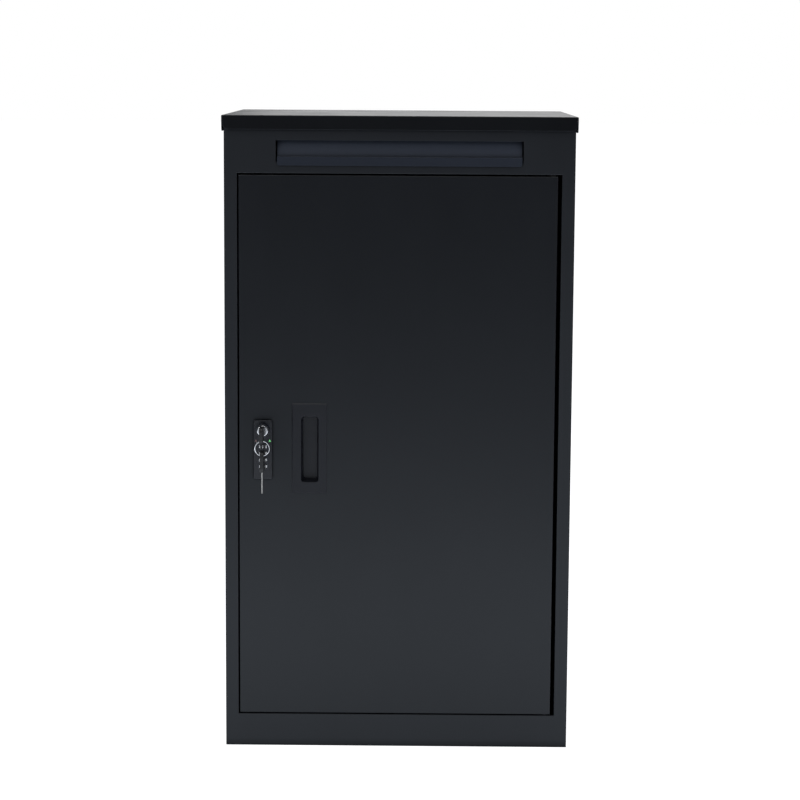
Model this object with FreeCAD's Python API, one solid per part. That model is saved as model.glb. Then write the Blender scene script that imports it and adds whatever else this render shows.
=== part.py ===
import FreeCAD, Part
import math
import os

# Parcel drop box: a folded-steel cabinet with a hinged roof lid over a drop tray, a letter slot with a
# flap, and an inset door with a combination lock. Millimetres, +Z up, front facing -Y, +X to the right
# as seen from the front. The origin is the centre of the base, on the floor.

V = FreeCAD.Vector
X_AXIS = V(1, 0, 0)
Y_AXIS = V(0, 1, 0)
Z_AXIS = V(0, 0, 1)

# ---- driving dimensions: cabinet ----
HEIGHT = 1000.0                     # floor to the top of the roof
BODY_W = 543.0
BODY_D = 440.0
SHEET = 1.2                         # steel sheet of the cabinet, roof, door and tray
SHEET_FOLD_R = SHEET - 0.2          # small outside radius where a sheet turns a corner
PAST = 1.0                          # how far a cutting shape runs past the face it cuts
SMALL = 0.01                        # lengths closer than this count as equal
FLANGE = 15.0                       # inward flange of the side panels
RIM_Z = 995.0                       # top of the cabinet's rim flanges
REAR_RIM = 22.0                     # depth of the back panel's top flange
RIM_GAP = 1.0                       # between neighbouring flanges of the rim
SEAM_GAP = 0.1                      # between sheets that lie against each other
BASE_FLANGE = 25.0                  # upturned edge of the base panel
ANCHOR_R = 5.5
ANCHOR_X = 200.0
ANCHOR_Y = 150.0
BACK_RIVET_ROWS = 6
BACK_RIVET_Z = 90.0
BACK_RIVET_PITCH = 160.0
RIVET_R = 2.4
RIVET_HEAD = 1.2
RIVET_SHOULDER_R = 2.0
RIVET_SHOULDER = 0.65               # height of the rivet head's bevelled shoulder
RIVET_CROWN_R = 1.1

# ---- driving dimensions: roof lid ----
ROOF_W = 550.0
ROOF_OVERHANG = 5.0                 # beyond the cabinet, front and rear
FRONT_SKIRT_Z = 978.3               # bottom of the front skirt
SIDE_SKIRT_Z = 975.3                # bottom of the side skirts
SKIRT_CORNER_R = 8.0
CORNER_SLIT = 2.2                   # relief where the front and side skirts meet
HEM_H = 8.0
FOLD_R = 1.8                        # outside radius of a fold
RIB_HALF = 215.0                    # half length of the roof rib
RIB_DEEP = 14.0
RIB_TOP_HALF = 24.0
RIB_LOW_HALF = 12.0
SEAL_W = 7.0
SEAL_IN = 4.0                       # rubber strip in from the side sheet
SEAL_FRONT = 5.0                    # and in from the front sheet
SEAL_GAP = 0.3
LID_OPEN_DEG = 78.0
LID_KNUCKLE_R = 2.6
LID_PIN_R = 1.3
LID_LEAF = 1.0                      # thickness of the piano hinge's leaves
LID_LEAF_W = 12.0
LID_BODY_LEAF_H = 22.0
KNUCKLES = 17                       # alternate knuckles along the piano hinge, odd
KNUCKLE_GAP = 0.3
HINGE_HALF = 250.0
HINGE_RIVETS = 9
LEAF_RIVET_IN = 4.0                 # rivets in from the leaf's edge
LEAF_RIVET_R = 1.8                  # flat heads under the roof
LEAF_RIVET_H = 0.9
HINGE_RIVET_END = 20.0              # first and last rivet in from the ends of the hinge

# ---- driving dimensions: door ----
DOOR_OPEN_L = -251.2                # door opening in the front frame
DOOR_OPEN_R = 251.2
DOOR_OPEN_Z0 = 52.0
DOOR_OPEN_Z1 = 911.0
DOOR_L = -249.3
DOOR_R = 245.2                      # wide gap: the corner swings out past the stile
DOOR_Z0 = 53.5
DOOR_Z1 = 908.4
DOOR_DEPTH = 18.0
DOOR_LIP = 12.0
JAMB_DEPTH = 20.0
JAMB_LIP = 12.0                     # rear lip of the jamb that the cam locks behind
SILL_LIP = 14.0                     # rear lip of the sill, down from the opening
PIVOT_IN = 8.0                      # pivot axis in from the door's edge
PIVOT_X = DOOR_R - PIVOT_IN
DOOR_PIN_R = 3.0
DOOR_PIN_HEAD = 2.0                 # the pin's head, in height and beyond the shank
DOOR_PIN_L = 14.0
PIVOT_PLATE = 3.0                   # reinforcing plates that hold the pins
PIVOT_PLATE_REACH = 20.0
PIVOT_PLATE_IN = 2.0                # plates held clear of the folds
BUSH_R = 4.5
BUSH_FLANGE_R = 6.5
BUSH_FLANGE_TOP = 1.4
BUSH_FLANGE_LOW = 1.3
DOUBLER = 2.0                       # doubler plates inside the door, around the bushes
STOP_Z = (130.0, 830.0)
STOP_H = 24.0
STOP_REACH = 11.0
STOP_T = 2.0
STOP_CORNER_R = 3.0
BUMPER_R = 4.0
DOOR_RIB_X = 20.0                   # middle of the door's upright rib
DOOR_RIB_DEEP = 14.0
DOOR_RIB_HALF = 14.0
DOOR_RIB_FLANGE = 16.0
DOOR_RIB_END = 20.0                 # rib ends in from the door's edges
RUNNING_GAP = 0.06                  # radial clearance of every turning fit
HOLE_GAP = 0.3                      # radial clearance of every plain hole

# ---- driving dimensions: letter slot ----
SLOT_HALF = 191.4
SLOT_Z0 = 928.0                     # cut-out in the front sheet
SLOT_Z1 = 962.0
FLAP_CREASE_Z = 937.0
FLAP_LIP_Z = 922.9
FLAP_HALF = 189.2
FLAP_RECESS = 10.5                  # the flap's panel leans: this deep at its top
FLAP_RECESS_LOW = 3.5               # and this deep at the crease
FLAP_SHEET = 1.0
FLAP_FOLD_R = 0.7
FLAP_ROD_R = 2.0
FLAP_TOP_Z = 969.0
FLAP_LIP_OUT = 1.8                  # the lip stands out from the front sheet
FLAP_AXIS_IN = 5.5                  # flap rod in from the front sheet
FLAP_AXIS_UP = 3.5                  # flap rod above the cut-out
FLAP_EAR_R = 3.6
FLAP_EAR_T = 1.5
FLAP_CORNER_R = 4.0
FLAP_ANGLE = 1.5                    # sheet of the small angles that hold the flap rod
FLAP_ANGLE_LEG = 4.5
CHUTE_HALF = 197.0
CHUTE_D = 42.0
CHUTE_TOP_Z = 973.0
CHUTE_LOW_Z = 880.0
CHEEK_LOW_Z = 914.0
CHUTE_EAR = 12.0
RAMP_GAP = 2.0                      # ramp clear of the chute's ends, the slot and the jamb
RAMP_EDGE = 8.0                     # height of the ramp's welded edge
RAMP_LIFT = 0.5                     # ramp above the header

# ---- driving dimensions: drop tray ----
TRAY_HANG_DEG = 82.0                # below horizontal while the roof lid is shut
TRAY_DROP = 250.2                   # tray hinge below the roof hinge
TRAY_BEHIND = 17.6                  # tray hinge forward of the roof hinge
TRAY_LENGTH = 370.0
TRAY_HALF = 243.0
TRAY_LIP = 14.0
TRAY_DEEP = 8.0                     # tray floor below the tray hinge
TRAY_REAR = 8.0                     # tray floor starts this far ahead of the hinge
TRAY_HEEL = 11.0                    # ear heel that meets the back panel when the tray is level
TRAY_EAR_LOW = 170.0                # where the ear's edge meets the tray floor
TRAY_TIP = 9.0                      # ear material around the link pin
TRAY_BRACKET_H = 40.0
TRAY_BRACKET_T = 2.5
TRAY_BRACKET_NOSE = 9.0             # bracket ahead of the rod
TRAY_BRACKET_GAP = 3.0              # between the tray's ear and the bracket
TRAY_BRACKET_R = 3.0
TRAY_BRACKET_FOOT = 8.0             # foot, inwards past the ear, and its thickness
TRAY_BRACKET_FOOT_T = 2.0
TRAY_ROD_R = 4.0
LINK_R = 120.0                      # hinge to link pin, on the lid and on the tray
LINK_DEG = -10.0                    # direction of the link pins, forward and down, lid shut
LINK_W = 16.0
LINK_T = 2.5
LINK_X = 246.5                      # inner face of the link bars
LINK_PIN_R = 3.0
LINK_PIN_HEAD = 1.8
LINK_PIN_HEAD_OUT = 2.0             # the head beyond the shank, all round
LINK_PLAY = 0.6                     # between the bar and the pin's head
LINK_BRACKET_HALF = 14.0
LINK_BRACKET_T = 2.0
LINK_BRACKET_LOW = 9.0              # bracket below the pin
LINK_BRACKET_FOOT = 16.0
LINK_BRACKET_R = 5.0

# ---- driving dimensions: recessed handle ----
HANDLE_X0 = -166.4
HANDLE_X1 = -111.2
HANDLE_Z0 = 409.6
HANDLE_Z1 = 552.3
HANDLE_PROUD = 1.2
HANDLE_BEVEL = 1.4
POCKET_X0 = -152.2
POCKET_X1 = -124.2
POCKET_Z0 = 427.0
POCKET_Z1 = 532.0
POCKET_R = 5.0
POCKET_DRAFT = 3.5                  # how far the pocket's walls lean in, mouth to floor
POCKET_LIP_R = 0.8
POCKET_D_TOP = 12.5
POCKET_D_LOW = 15.0
CUP_WALL = 1.2
RETAINER_W = 8.0
RETAINER_T = 2.5

# ---- driving dimensions: lock ----
LOCK_X = -211.7
LOCK_Z = 479.1
PLATE_W = 28.3
PLATE_H = 93.0
PLATE_T = 4.0
PLATE_R = 2.0
PLATE_EDGE_R = 0.9
LOCK_BODY_R = 1.5
LOCK_BODY_W = 23.0
LOCK_BODY_H = 82.0
LOCK_BODY_D = 18.0
LOCK_SCREW_DZ = 44.1                # clamp screws above and below the lock's middle
LOCK_SCREW_R = 1.5
LOCK_SCREW_BITE = 1.5               # depth of the screw holes in the face plate
LOCK_FIT = 0.2                      # lock body in its hole in the door
CLAMP_HALF_W = 17.0
CLAMP_HALF_H = 50.0
CLAMP_T = 2.0
COVER_T = 1.5
COVER_SCREW_X = 8.0
COVER_SCREW_Z = (441.0, 496.0)
COVER_SCREW_R = 1.0
COVER_SCREW_L = 5.0
HEAD_ROUNDING = 0.45                # of a pan head's height
CROSS_REACH = 0.6                   # cross slot, of the head's radius
CROSS_HALF_W = 0.35
KNOB_Z = 510.0
KNOB_R = 10.9
KNOB_RECESS_R = 11.5
KNOB_RECESS = 1.0                   # depth of the seat in the face plate
KNOB_FACE = 13.0                    # front of the knob, out from the door's face
KNOB_GRIPS = 12
KNOB_GRIP_R = 1.3
KNOB_EDGE_R = 0.8
KNOB_SEAT = 0.8                     # knob and plug start this far inside the face plate
PLUG_FACE_R = 8.3
PLUG_R = 6.0
PLUG_FACE = 14.0
PLUG_EDGE_R = 0.9
PLUG_RIM = 2.3                      # raised rim around the plug's dished face
PLUG_DISH = 0.8
DIAL_TOP_Z = 483.6
DIAL_PITCH = 10.5
DIAL_COUNT = 4
DIAL_R = 9.0
DIAL_T = 8.4
DIAL_IN = 2.8                       # dial shaft, in from the door's face
DIAL_DIGITS = 10
DIAL_SHAFT_R = 1.5
DIAL_WINDOW_GAP = 0.4
DETENT_T = 0.5                      # leaf spring: sheet, half widths, finger's half foot
DETENT_HALF_W = 2.8
DETENT_FINGER = 2.0
DETENT_FOOT = 3.2
DETENT_GAP = 0.15                   # finger clear of the wheel
DIAL_EDGE_R = 0.5
NOTCH_R = 0.8                       # finger notch between two digits
NOTCH_OUT = 0.35                    # notch centre out from the wheel's rim
MARK_X = 10.9                       # status marks to the left and right of the lock's middle
MARK_Z = 493.4
MARK_T = 0.25
MARK_HALF_W = 1.9
MARK_LOW = 1.6                      # below and above the mark's centre
MARK_HIGH = 2.2
CAM_T = 2.5
CAM_IN = 22.5                       # front face of the cam, in from the door's face
CAM_REACH = 48.0
CAM_W = 16.0
SPINDLE = 6.0
SPINDLE_HOLE_R = 4.6
CAM_SCREW_HEX_R = 4.6
CAM_SCREW_HEAD = 3.2
CAM_WASHER_R = 6.0
CAM_WASHER_T = 1.0

# ---- driving dimensions: keys ----
BOW_L = 32.0
BOW_W = 26.0
BOW_T = 6.0
BOW_R = 7.0
BOW_EDGE_R = 0.9
BOW_OUT = 22.0                      # near end of the bow, out from the door's face
BOW_Z = 507.2                       # the bow hangs a little below the plug's centre
BOW_SLOT_IN = 8.75                  # centre of the ring slot from the bow's outer end
BOW_SLOT_L = 5.5
BOW_SLOT_W = 20.0
BLADE_T = 1.6
BLADE_W = 8.0
BLADE_L = 34.0
BLADE_TIP = 3.0
KEYWAY_GAP = 0.2
BITE_DEPTHS = (2.4, 1.2, 3.0, 1.8, 2.6)
BITE_PITCH = 4.2
BITE_FLAT = 1.2
BITE_CREST = 0.6                    # crests between bites, below the blade's edge
BLADE_NECK = 8.0                    # plain blade next to the bow
KEY_X = LOCK_X
RING_R = 11.3                       # centreline of the split ring
RING_WIRE = 0.75
RING_SIDE = 1.5                     # the ring has slid this far to the right in the bow's slot
RING_SEAT_R = 1.55                  # round seat in the bow that the ring's wire hangs in
RING_SEAT_DEEP = 1.0                # how far the seat cuts into the slot's outer edge

# ---- places worked out from the dimensions above ----
FRONT = -BODY_D / 2
BACK = BODY_D / 2
HALF_W = BODY_W / 2
INNER_W = HALF_W - SHEET
LID_UNDER = HEIGHT - SHEET
LID_AXIS_Y = BACK + LID_KNUCKLE_R
LID_AXIS_Z = LID_UNDER - LID_KNUCKLE_R
TRAY_AXIS_Y = LID_AXIS_Y - TRAY_BEHIND
TRAY_AXIS_Z = LID_AXIS_Z - TRAY_DROP
LINK_DY = -LINK_R * math.cos(math.radians(LINK_DEG))
LINK_DZ = LINK_R * math.sin(math.radians(LINK_DEG))
PIVOT_Y = FRONT + DOOR_DEPTH / 2
FLAP_AXIS_Y = FRONT + FLAP_AXIS_IN
FLAP_AXIS_Z = SLOT_Z1 + FLAP_AXIS_UP
DIAL_Y = FRONT + DIAL_IN
DIAL_LOW_Z = DIAL_TOP_Z - (DIAL_COUNT - 1) * DIAL_PITCH
SHAFT_Z0 = DIAL_LOW_Z - DIAL_PITCH / 2 - 3
SHAFT_Z1 = DIAL_TOP_Z + DIAL_PITCH / 2 + 3
LOCK_REAR = FRONT + LOCK_BODY_D
BOW_FAR = BOW_OUT + BOW_L
RING_Y = FRONT - BOW_FAR + BOW_SLOT_IN
RING_TOP_Z = BOW_Z - BOW_SLOT_W / 2 + RING_SEAT_R
RING_X = KEY_X + RING_SIDE
RING_Z = RING_TOP_Z - RING_R
SPARE_SLOT_TOP = RING_Z - RING_R + RING_SEAT_R - RING_SEAT_DEEP
SPARE_ROOT_Z = SPARE_SLOT_TOP + BOW_SLOT_IN - BOW_SLOT_L / 2 - BOW_L


# ---- helpers ----
def box(x0, x1, y0, y1, z0, z1):
    """A block between two corners."""
    return Part.makeBox(x1 - x0, y1 - y0, z1 - z0, V(x0, y0, z0))


def rod(radius, start, end):
    """A round bar from start to end."""
    along = end - start
    return Part.makeCylinder(radius, along.Length, start, along)


def rod_x(radius, x0, x1, y, z):
    """A round bar along X."""
    return rod(radius, V(x0, y, z), V(x1, y, z))


def rod_y(radius, x, y0, y1, z):
    """A round bar along Y."""
    return rod(radius, V(x, y0, z), V(x, y1, z))


def rod_z(radius, x, y, z0, z1):
    """A round bar along Z."""
    return rod(radius, V(x, y, z0), V(x, y, z1))


def fuse(shapes):
    """One clean solid from touching pieces."""
    first, rest = shapes[0], shapes[1:]
    return first.fuse(rest).removeSplitter() if rest else first


def prism_x(points, x0, x1):
    """A polygon of (y, z) points drawn out along X."""
    wire = Part.makePolygon([V(x0, y, z) for y, z in points + points[:1]])
    return Part.Face(wire).extrude(V(x1 - x0, 0, 0))


def prism_y(points, y0, y1):
    """A polygon of (x, z) points drawn out along Y."""
    wire = Part.makePolygon([V(x, y0, z) for x, z in points + points[:1]])
    return Part.Face(wire).extrude(V(0, y1 - y0, 0))


def round_edges(shape, radius, wanted):
    """Round the straight edges whose middle point passes the test."""
    chosen = [e for e in shape.Edges if wanted(e.CenterOfMass, e.BoundBox)]
    return shape.makeFillet(radius, chosen) if chosen else shape


def slab(x0, x1, y0, y1, z0, z1, radius, along):
    """A block whose four edges along one axis ("x", "y" or "z") are rounded."""
    lengths = {"x": "XLength", "y": "YLength", "z": "ZLength"}
    full = {"x": x1 - x0, "y": y1 - y0, "z": z1 - z0}[along]
    shape = box(x0, x1, y0, y1, z0, z1)
    return round_edges(shape, radius, lambda c, b: near(getattr(b, lengths[along]), full)
                       and near(b.DiagonalLength, full))


def near(value, target):
    return abs(value - target) < SMALL


def mirrored(shape):
    """The shape's mirror image across the middle of the box."""
    return shape.mirror(V(0, 0, 0), X_AXIS)


def both_sides(shape):
    """The shape and its mirror image."""
    return Part.makeCompound([shape, mirrored(shape)])


def rivet(x, y, z, out):
    """A low rivet head on a face, with a bevelled shoulder below a smaller crown."""
    base = V(x, y, z)
    step = base + out * RIVET_SHOULDER
    shoulder = Part.makeCone(RIVET_R, RIVET_SHOULDER_R, RIVET_SHOULDER, base, out)
    crown = Part.makeCone(RIVET_SHOULDER_R, RIVET_CROWN_R, RIVET_HEAD - RIVET_SHOULDER, step, out)
    return shoulder.fuse(crown)


def save(name, shape):
    shape.exportStep(os.path.join("parts", name + ".step"))


# ---- cabinet ----
def jamb_lips(rear):
    """Rear lips of the jambs, outwards from the door opening, and of the sill, downwards."""
    front = rear - SHEET
    outer = DOOR_OPEN_R + SHEET + JAMB_LIP
    right = box(DOOR_OPEN_R + SHEET, outer, front, rear, DOOR_OPEN_Z0 - SHEET, DOOR_OPEN_Z1 + SHEET)
    sill = box(DOOR_OPEN_L, DOOR_OPEN_R, front, rear, DOOR_OPEN_Z0 - SILL_LIP, DOOR_OPEN_Z0 - SHEET)
    return [right, mirrored(right), sill]


def front_frame():
    """Front sheet with the slot cut-out and the door opening, its jambs folded inwards."""
    rear = FRONT + JAMB_DEPTH
    face = box(-HALF_W, HALF_W, FRONT, FRONT + SHEET, 0, RIM_Z)
    jambs = box(DOOR_OPEN_L - SHEET, DOOR_OPEN_R + SHEET, FRONT, rear,
                DOOR_OPEN_Z0 - SHEET, DOOR_OPEN_Z1 + SHEET)
    rim = box(-INNER_W + RIM_GAP, INNER_W - RIM_GAP, FRONT, FRONT + FLANGE, RIM_Z - SHEET, RIM_Z)
    opening = box(DOOR_OPEN_L, DOOR_OPEN_R, FRONT, BACK, DOOR_OPEN_Z0, DOOR_OPEN_Z1)
    slot = box(-SLOT_HALF, SLOT_HALF, FRONT - PAST, FRONT + SHEET + PAST, SLOT_Z0, SLOT_Z1)
    pin_holes = [rod_z(DOOR_PIN_R + HOLE_GAP, PIVOT_X, PIVOT_Y, z - SHEET - PAST, z + PAST)
                 for z in (DOOR_OPEN_Z0, DOOR_OPEN_Z1 + SHEET)]
    shape = fuse([face, jambs, rim] + jamb_lips(rear)).cut([opening, slot] + pin_holes)

    def fold(c, b):
        on_face = near(c.y, FRONT) and b.YLength < SMALL
        upright = near(c.x, DOOR_OPEN_L) or near(c.x, DOOR_OPEN_R)
        level = near(c.z, DOOR_OPEN_Z0) or near(c.z, DOOR_OPEN_Z1)
        return on_face and (upright or level)
    return round_edges(shape, SHEET_FOLD_R, fold)


def side_panel(side):
    """One side of the cabinet, flanged inwards at the front, rear and top."""
    front = FRONT + SHEET
    rear = BACK - SHEET
    inner = INNER_W - FLANGE
    sheet = box(INNER_W, HALF_W, front, BACK, 0, RIM_Z)
    front_flange = box(inner, INNER_W, front, front + SHEET, 0, RIM_Z - SHEET)
    rear_flange = box(inner, INNER_W, rear - SHEET, rear, 0, RIM_Z - SHEET)
    top = box(inner, INNER_W, FRONT + FLANGE + RIM_GAP, BACK - REAR_RIM - RIM_GAP, RIM_Z - SHEET, RIM_Z)
    shape = fuse([sheet, front_flange, rear_flange, top])
    shape = round_edges(shape, SHEET_FOLD_R, lambda c, b: near(c.x, HALF_W)
                        and (near(c.z, RIM_Z) or near(c.y, BACK)))
    return shape if side > 0 else mirrored(shape)


def back_panel():
    """Back sheet between the side panels, with its top edge folded forward as the rear rim."""
    half = INNER_W - 2 * SEAM_GAP
    sheet = box(-half, half, BACK - SHEET, BACK, 0, RIM_Z)
    rim = box(-half, half, BACK - REAR_RIM, BACK, RIM_Z - SHEET, RIM_Z)
    return fuse([sheet, rim])


def back_rivets():
    """Rivets that close the back panel onto the side panels' rear flanges."""
    heads = []
    for row in range(BACK_RIVET_ROWS):
        z = BACK_RIVET_Z + row * BACK_RIVET_PITCH
        heads += [rivet(x, BACK, z, Y_AXIS) for x in (-INNER_W + FLANGE / 2, INNER_W - FLANGE / 2)]
    return Part.makeCompound(heads)


def base_panel():
    """Floor tray of the cabinet, with four anchor holes."""
    half = INNER_W - SEAM_GAP
    front = FRONT + 2 * SHEET + SEAM_GAP
    rear = BACK - 2 * SHEET - SEAM_GAP
    block = box(-half, half, front, rear, 0, BASE_FLANGE)
    inside = box(-half + SHEET, half - SHEET, front + SHEET, rear - SHEET, SHEET, BASE_FLANGE + PAST)
    holes = [rod_z(ANCHOR_R, x, y, -PAST, SHEET + PAST)
             for x in (-ANCHOR_X, ANCHOR_X) for y in (-ANCHOR_Y, ANCHOR_Y)]
    return block.cut([inside] + holes)


# ---- concealed door pivots and door stops ----
def frame_pivot_plates():
    """Thick plates welded behind the header and the sill, which hold the pivot pins."""
    plates = []
    for z0 in (DOOR_OPEN_Z1 + SHEET, DOOR_OPEN_Z0 - SHEET - PIVOT_PLATE):
        z1 = z0 + PIVOT_PLATE
        plate = box(PIVOT_X - PIVOT_PLATE_REACH, DOOR_OPEN_R - PIVOT_PLATE_IN,
                    FRONT + PIVOT_PLATE_IN, FRONT + JAMB_DEPTH - PIVOT_PLATE_IN, z0, z1)
        plates.append(plate.cut(rod_z(DOOR_PIN_R, PIVOT_X, PIVOT_Y, z0 - PAST, z1 + PAST)))
    return Part.makeCompound(plates)


def door_pivot_pins():
    """Headed pins through the header and the sill into the door's bushes."""
    pins = []
    for edge, way in ((DOOR_OPEN_Z1 + SHEET, 1), (DOOR_OPEN_Z0 - SHEET, -1)):
        head = edge + way * PIVOT_PLATE
        shank = rod_z(DOOR_PIN_R, PIVOT_X, PIVOT_Y, head - way * DOOR_PIN_L, head)
        cap = rod_z(DOOR_PIN_R + DOOR_PIN_HEAD, PIVOT_X, PIVOT_Y, head, head + way * DOOR_PIN_HEAD)
        pins.append(fuse([shank, cap]))
    return Part.makeCompound(pins)


def door_bushes():
    """Flanged nylon bushes in the door's top and bottom returns; their flanges carry the door."""
    bushes = []
    for edge, way, flange in ((DOOR_Z1, 1, BUSH_FLANGE_TOP), (DOOR_Z0, -1, BUSH_FLANGE_LOW)):
        inner = edge - way * (SHEET + DOUBLER)
        outer = edge + way * flange
        sleeve = rod_z(BUSH_R, PIVOT_X, PIVOT_Y, inner, edge)
        collar = rod_z(BUSH_FLANGE_R, PIVOT_X, PIVOT_Y, edge, outer)
        bore = rod_z(DOOR_PIN_R + RUNNING_GAP, PIVOT_X, PIVOT_Y, inner - way * PAST, outer + way * PAST)
        bushes.append(fuse([sleeve, collar]).cut(bore))
    return Part.makeCompound(bushes)


def door_pivot_plates():
    """Doubler plates inside the door's returns, around the bushes."""
    plates = []
    for z0 in (DOOR_Z1 - SHEET - DOUBLER, DOOR_Z0 + SHEET):
        z1 = z0 + DOUBLER
        plate = box(PIVOT_X - PIVOT_PLATE_REACH, DOOR_R - SHEET,
                    FRONT + SHEET, FRONT + DOOR_DEPTH - SHEET, z0, z1)
        plates.append(plate.cut(rod_z(BUSH_R, PIVOT_X, PIVOT_Y, z0 - PAST, z1 + PAST)))
    return Part.makeCompound(plates)


def door_stops():
    """Brackets on the strike-side jamb that the shut door rests against."""
    back = FRONT + JAMB_DEPTH
    outer = DOOR_OPEN_L - SHEET - JAMB_LIP
    inner = DOOR_OPEN_L + STOP_REACH
    return Part.makeCompound([slab(outer, inner, back, back + STOP_T, z, z + STOP_H, STOP_CORNER_R, "y")
                              for z in STOP_Z])


def door_bumpers():
    """Rubber buttons on the stops, against the door's rear lip."""
    front = FRONT + DOOR_DEPTH + 2 * SEAM_GAP
    x = DOOR_OPEN_L + STOP_REACH - BUMPER_R - 1
    return Part.makeCompound([rod_y(BUMPER_R, x, front, FRONT + JAMB_DEPTH, z + STOP_H / 2) for z in STOP_Z])


# ---- roof lid, its piano hinge and seal ----
def roof_shell():
    """Flat roof with a skirt on the front and sides, open at the rear and slit at the front corners."""
    half = ROOF_W / 2
    y0 = FRONT - ROOF_OVERHANG
    y1 = BACK + ROOF_OVERHANG
    outer = box(-half, half, y0, y1, SIDE_SKIRT_Z, HEIGHT)
    outer = round_edges(outer, FOLD_R, lambda c, b: near(c.z, HEIGHT) and not near(c.y, y1)
                        or near(b.ZLength, HEIGHT - SIDE_SKIRT_Z) and near(c.y, y0))
    inner = box(-half + SHEET, half - SHEET, y0 + SHEET, y1 + PAST, SIDE_SKIRT_Z - PAST, LID_UNDER)
    inner = round_edges(inner, FOLD_R - SHEET, lambda c, b: near(c.z, LID_UNDER)
                        and not near(c.y, y1 + PAST))
    below_front = box(-half - PAST, half + PAST, y0 - PAST, y0 + SHEET, SIDE_SKIRT_Z - PAST, FRONT_SKIRT_Z)
    slit = box(half - CORNER_SLIT, half + PAST, y0 - PAST, y0 + CORNER_SLIT,
               SIDE_SKIRT_Z - PAST, LID_UNDER - PAST)
    return outer.cut([inner, below_front, slit, mirrored(slit)])


def roof_lid():
    """Roof lid with rounded skirt corners and a hem folded up inside the front skirt."""
    half = ROOF_W / 2
    shell = round_edges(roof_shell(), SKIRT_CORNER_R, lambda c, b: near(c.z, FRONT_SKIRT_Z)
                        and near(b.YLength, SHEET) and abs(c.x) > half - CORNER_SLIT - PAST)
    shell = round_edges(shell, SKIRT_CORNER_R, lambda c, b: near(c.z, SIDE_SKIRT_Z)
                        and near(b.XLength, SHEET))
    hem_half = half - CORNER_SLIT - SKIRT_CORNER_R - 1
    hem_y = FRONT - ROOF_OVERHANG + SHEET
    hem = box(-hem_half, hem_half, hem_y, hem_y + SHEET, FRONT_SKIRT_Z, FRONT_SKIRT_Z + HEM_H)
    return fuse([shell, hem])


def hat_outline(top_half, low_half, deep):
    """Outline of a folded hat section as (across, down) points, its flanges at down = 0."""
    inner = low_half - SHEET
    right = [(top_half, 0), (top_half, SHEET), (low_half, SHEET), (low_half, deep)]
    left = [(-x, down) for x, down in reversed(right)]
    return right + left + [(-inner, 0), (-inner, deep - SHEET), (inner, deep - SHEET), (inner, 0)]


def lid_stiffener():
    """Hat-section rib across the inside of the roof."""
    outline = [(y, LID_UNDER - down) for y, down in hat_outline(RIB_TOP_HALF, RIB_LOW_HALF, RIB_DEEP)]
    return prism_x(outline, -RIB_HALF, RIB_HALF)


def knuckle(index):
    """Ends of one knuckle of the piano hinge along X."""
    pitch = 2 * HINGE_HALF / KNUCKLES
    start = -HINGE_HALF + index * pitch
    return start + KNUCKLE_GAP, start + pitch - KNUCKLE_GAP


def hinge_leaf(first, plate, relief_y, relief_z):
    """A leaf with every second knuckle from number first; the plate is relieved at the others."""
    barrels = [rod_x(LID_KNUCKLE_R, *knuckle(i), LID_AXIS_Y, LID_AXIS_Z)
               for i in range(first, KNUCKLES, 2)]
    reliefs = []
    for index in range(1 - first, KNUCKLES, 2):
        x0, x1 = knuckle(index)
        reliefs.append(box(x0 - 2 * KNUCKLE_GAP, x1 + 2 * KNUCKLE_GAP, *relief_y, *relief_z))
    hole = rod_x(LID_PIN_R + RUNNING_GAP, -HINGE_HALF - PAST, HINGE_HALF + PAST, LID_AXIS_Y, LID_AXIS_Z)
    return fuse([plate.cut(reliefs)] + barrels).cut(hole)


def lid_body_leaf():
    """Piano hinge leaf on the outside of the back panel."""
    plate = box(-HINGE_HALF, HINGE_HALF, BACK, BACK + LID_LEAF, LID_AXIS_Z - LID_BODY_LEAF_H, LID_AXIS_Z)
    clear = LID_AXIS_Z - LID_KNUCKLE_R - KNUCKLE_GAP
    return hinge_leaf(0, plate, (BACK - PAST, BACK + LID_LEAF + PAST), (clear, LID_AXIS_Z + PAST))


def lid_leaf():
    """Piano hinge leaf under the roof."""
    under = LID_UNDER - LID_LEAF
    plate = box(-HINGE_HALF, HINGE_HALF, LID_AXIS_Y - LID_LEAF_W, LID_AXIS_Y, under, LID_UNDER)
    clear = LID_AXIS_Y - LID_KNUCKLE_R - KNUCKLE_GAP
    return hinge_leaf(1, plate, (clear, LID_AXIS_Y + PAST), (under - PAST, LID_UNDER + PAST))


def lid_pin():
    return rod_x(LID_PIN_R, -HINGE_HALF, HINGE_HALF, LID_AXIS_Y, LID_AXIS_Z)


def hinge_rivet_places():
    """Rivet positions along the piano hinge."""
    reach = HINGE_HALF - HINGE_RIVET_END
    return [-reach + i * 2 * reach / (HINGE_RIVETS - 1) for i in range(HINGE_RIVETS)]


def lid_body_rivets():
    """Rivet heads on the leaf outside the back panel."""
    z = LID_AXIS_Z - LID_BODY_LEAF_H + LEAF_RIVET_IN * 2
    return Part.makeCompound([rivet(x, BACK + LID_LEAF, z, Y_AXIS) for x in hinge_rivet_places()])


def lid_rivets():
    """Flat rivet heads on the roof leaf's underside."""
    y = LID_AXIS_Y - LID_LEAF_W + LEAF_RIVET_IN
    under = LID_UNDER - LID_LEAF
    return Part.makeCompound([rod_z(LEAF_RIVET_R, x, y, under - LEAF_RIVET_H, under)
                              for x in hinge_rivet_places()])


def lid_seal():
    """Rubber strip around the rim that the shut roof rests on."""
    z1 = LID_UNDER - SEAL_GAP
    x_out = INNER_W - SEAL_IN
    x_in = x_out - SEAL_W
    y0 = FRONT + SEAL_FRONT
    y1 = BACK - LID_LEAF_W
    outer = box(-x_out, x_out, y0, y1, RIM_Z, z1)
    return outer.cut(box(-x_in, x_in, y0 + SEAL_W, y1 - SEAL_W, RIM_Z - PAST, z1 + PAST))


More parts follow.
